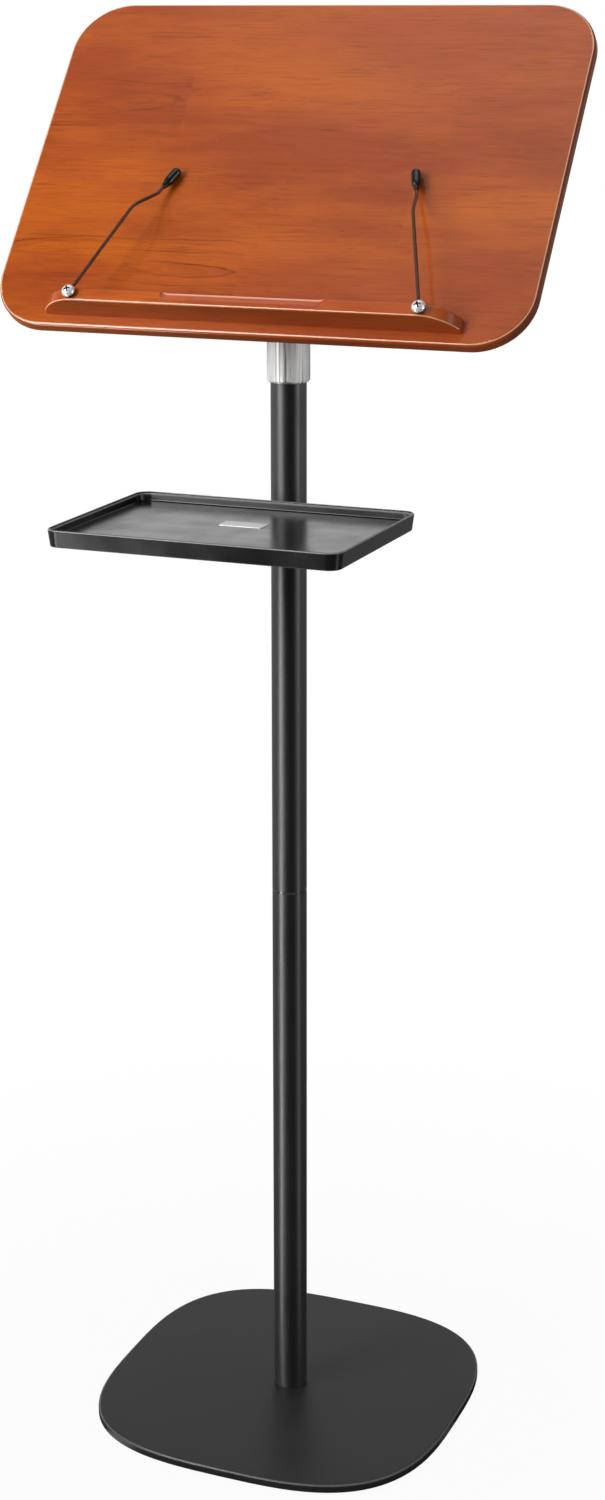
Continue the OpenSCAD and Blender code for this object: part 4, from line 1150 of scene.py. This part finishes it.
bpy.context.scene.collection.objects.link(floor)
floor_paint, tree, shader = new_finish("floor_paint")
wire(tree, shader, Base_Color=FLOOR_GREY, Roughness=0.9, Specular_IOR_Level=0.0)
seen, reflected = ray_kinds(tree)
spot = own_place(tree)
distance = vector_sums(tree, "LENGTH", spot)
bearing = vector_sums(tree, "NORMALIZE", spot)
fade = between(tree, distance, WHITE_AT_STAND, 1.0, FADE_FROM, FADE_TO)
white_share = sums(tree, "MAXIMUM", times(tree, seen, fade), reflected)
glow = backdrop_glow(tree, spot, *FLOOR_BACKDROP)
glow = times(tree, glow, dim_right(tree, bearing))
far_off = between(tree, distance, 0, SIDE_GLOW, SIDES_FROM, SIDES_TO)
glow = sums(tree, "MULTIPLY_ADD", side_share(tree, bearing), far_off, glow)
off_stand = between(tree, distance, STAND_DIM, 1, STAND_FROM, STAND_TO)
for side_turn, near_glow, far_glow in FLOOR_BANDS:
    band = bright_towards(tree, bearing, side_turn, BAND_EDGE, BAND_CORE)
    band = times(tree, band, between(tree, distance, near_glow, far_glow, BAND_NEAR, BAND_FAR))
    glow = sums(tree, "MULTIPLY_ADD", band, off_stand, glow)
strength = sums(tree, "ADD", times(tree, reflected, glow), seen)
white = node(tree, "Emission", {"Color": (1, 1, 1, 1), "Strength": strength})
surfaces = {0: white_share, 1: shader.outputs["BSDF"], 2: white.outputs["Emission"]}
blend = node(tree, "MixShader", surfaces)
tree.links.new(blend.outputs["Shader"], tree.nodes["Material Output"].inputs["Surface"])
floor_data.materials.append(floor_paint)

# World: white to the camera and dim to matt surfaces. In reflections it has the backdrop,
# both sides low down, an upright card at the left and a glow overhead. A rise of 0 is the
# horizon, 1 straight up.
AMBIENT = 0.26
WORLD_BACKDROP = (-0.2, 0.8, 0.06, 1.2)
BACKDROP_TOP, TOP_DIM = (0.2, 0.52), 0.12
SIDES_RISE = (0.03, 0.14)
CARD_TURN, CARD_GLOW = math.radians(49), 10.0
CARD_EDGE, CARD_CORE = 12, 9
CARD_FOOT, CARD_TOP = (0.2, 0.3), (0.5, 0.6)
OVERHEAD_GLOW, OVERHEAD_RISE = 1.3, (0.84, 0.94)
world = bpy.data.worlds.new("studio")
bpy.context.scene.world = world
world.use_nodes = True
tree = world.node_tree
tree.nodes.clear()
seen, reflected = ray_kinds(tree)
heading = node(tree, "TexCoord").outputs["Generated"]
rise = split_up(tree, heading)["Z"]
glow = backdrop_glow(tree, heading, *WORLD_BACKDROP)
glow = times(tree, glow, between(tree, rise, 1, TOP_DIM, *BACKDROP_TOP))
glow = times(tree, glow, dim_right(tree, heading))
bearing = vector_sums(tree, "NORMALIZE", vector_sums(tree, "MULTIPLY", heading, (1, 1, 0)))
low_down = between(tree, sums(tree, "ABSOLUTE", rise), SIDE_GLOW, 0, *SIDES_RISE)
glow = sums(tree, "MULTIPLY_ADD", side_share(tree, bearing), low_down, glow)
card = bright_towards(tree, bearing, CARD_TURN, CARD_EDGE, CARD_CORE, CARD_GLOW)
card = times(tree, card, between(tree, rise, 0, 1, *CARD_FOOT))
glow = sums(tree, "MULTIPLY_ADD", card, between(tree, rise, 1, 0, *CARD_TOP), glow)
glow = sums(tree, "ADD", glow, between(tree, rise, 0, OVERHEAD_GLOW, *OVERHEAD_RISE))
level = sums(tree, "MULTIPLY_ADD", reflected, sums(tree, "SUBTRACT", glow, AMBIENT), AMBIENT)
level = sums(tree, "MULTIPLY_ADD", seen, sums(tree, "SUBTRACT", 1.0, level), level)
sky = node(tree, "Background", {"Color": (1, 1, 1, 1), "Strength": level})
node(tree, "OutputWorld", {"Surface": sky.outputs["Background"]})


def soft_box(name, turn, distance, height, size, radiance, aim_height):
    """Soft box of that width and height, at that turn, aimed at a height over the stand."""
    width, tall = size
    lamp = bpy.data.lights.new(name, "AREA")
    lamp.shape = "RECTANGLE"
    lamp.size, lamp.size_y = width, tall
    lamp.energy = radiance * math.pi * width * tall
    made = bpy.data.objects.new(name, lamp)
    place = way_to(turn) * distance + Vector((0, 0, height))
    view = (Vector((0, 0, aim_height)) - place).to_track_quat("-Z", "Y")
    made.matrix_world = Matrix.Translation(place) @ view.to_matrix().to_4x4()
    bpy.context.scene.collection.objects.link(made)
    return made


soft_box("left_box", LEFT_TURN, 1.8, 1.85, (1.0, 1.5), radiance=7.6, aim_height=1.6)
soft_box("right_box", RIGHT_TURN, 1.8, 1.6, (0.6, 1.6), radiance=1.8, aim_height=1.6)
TOP_TURN = math.radians(160)
top_box = soft_box("top_box", TOP_TURN, 0.3, 3.3, (2.2, 2.2), radiance=0.6, aim_height=0.8)
top_box.visible_glossy = False


# Camera: where the photograph was taken from, fitted to the outlines of base, pole and
# board. The shift keeps the verticals of the view as they were framed.
CAMERA_SPOT = Vector((0.8476, -2.0614, 1.3119))
CAMERA_DIP, CAMERA_ROLL = math.radians(15.72), math.radians(-0.11)
LONG_SIDE, FOCAL_PIXELS = 1500, 2549.9
OFF_CENTRE = (302.5 - 289.35, 717.0 - 750.0)
lens = bpy.data.cameras.new("photograph")
lens.sensor_width = 36
lens.lens = lens.sensor_width * FOCAL_PIXELS / LONG_SIDE
lens.shift_x, lens.shift_y = OFF_CENTRE[0] / LONG_SIDE, OFF_CENTRE[1] / LONG_SIDE
camera = bpy.data.objects.new("photograph", lens)
camera.matrix_world = (
    Matrix.Translation(CAMERA_SPOT)
    @ Matrix.Rotation(CAMERA_TURN, 4, "Z")
    @ Matrix.Rotation(math.pi / 2 - CAMERA_DIP, 4, "X")
    @ Matrix.Rotation(CAMERA_ROLL, 4, "Z")
)
bpy.context.scene.collection.objects.link(camera)
bpy.context.scene.camera = camera
bpy.context.scene.view_settings.view_transform = "Standard"
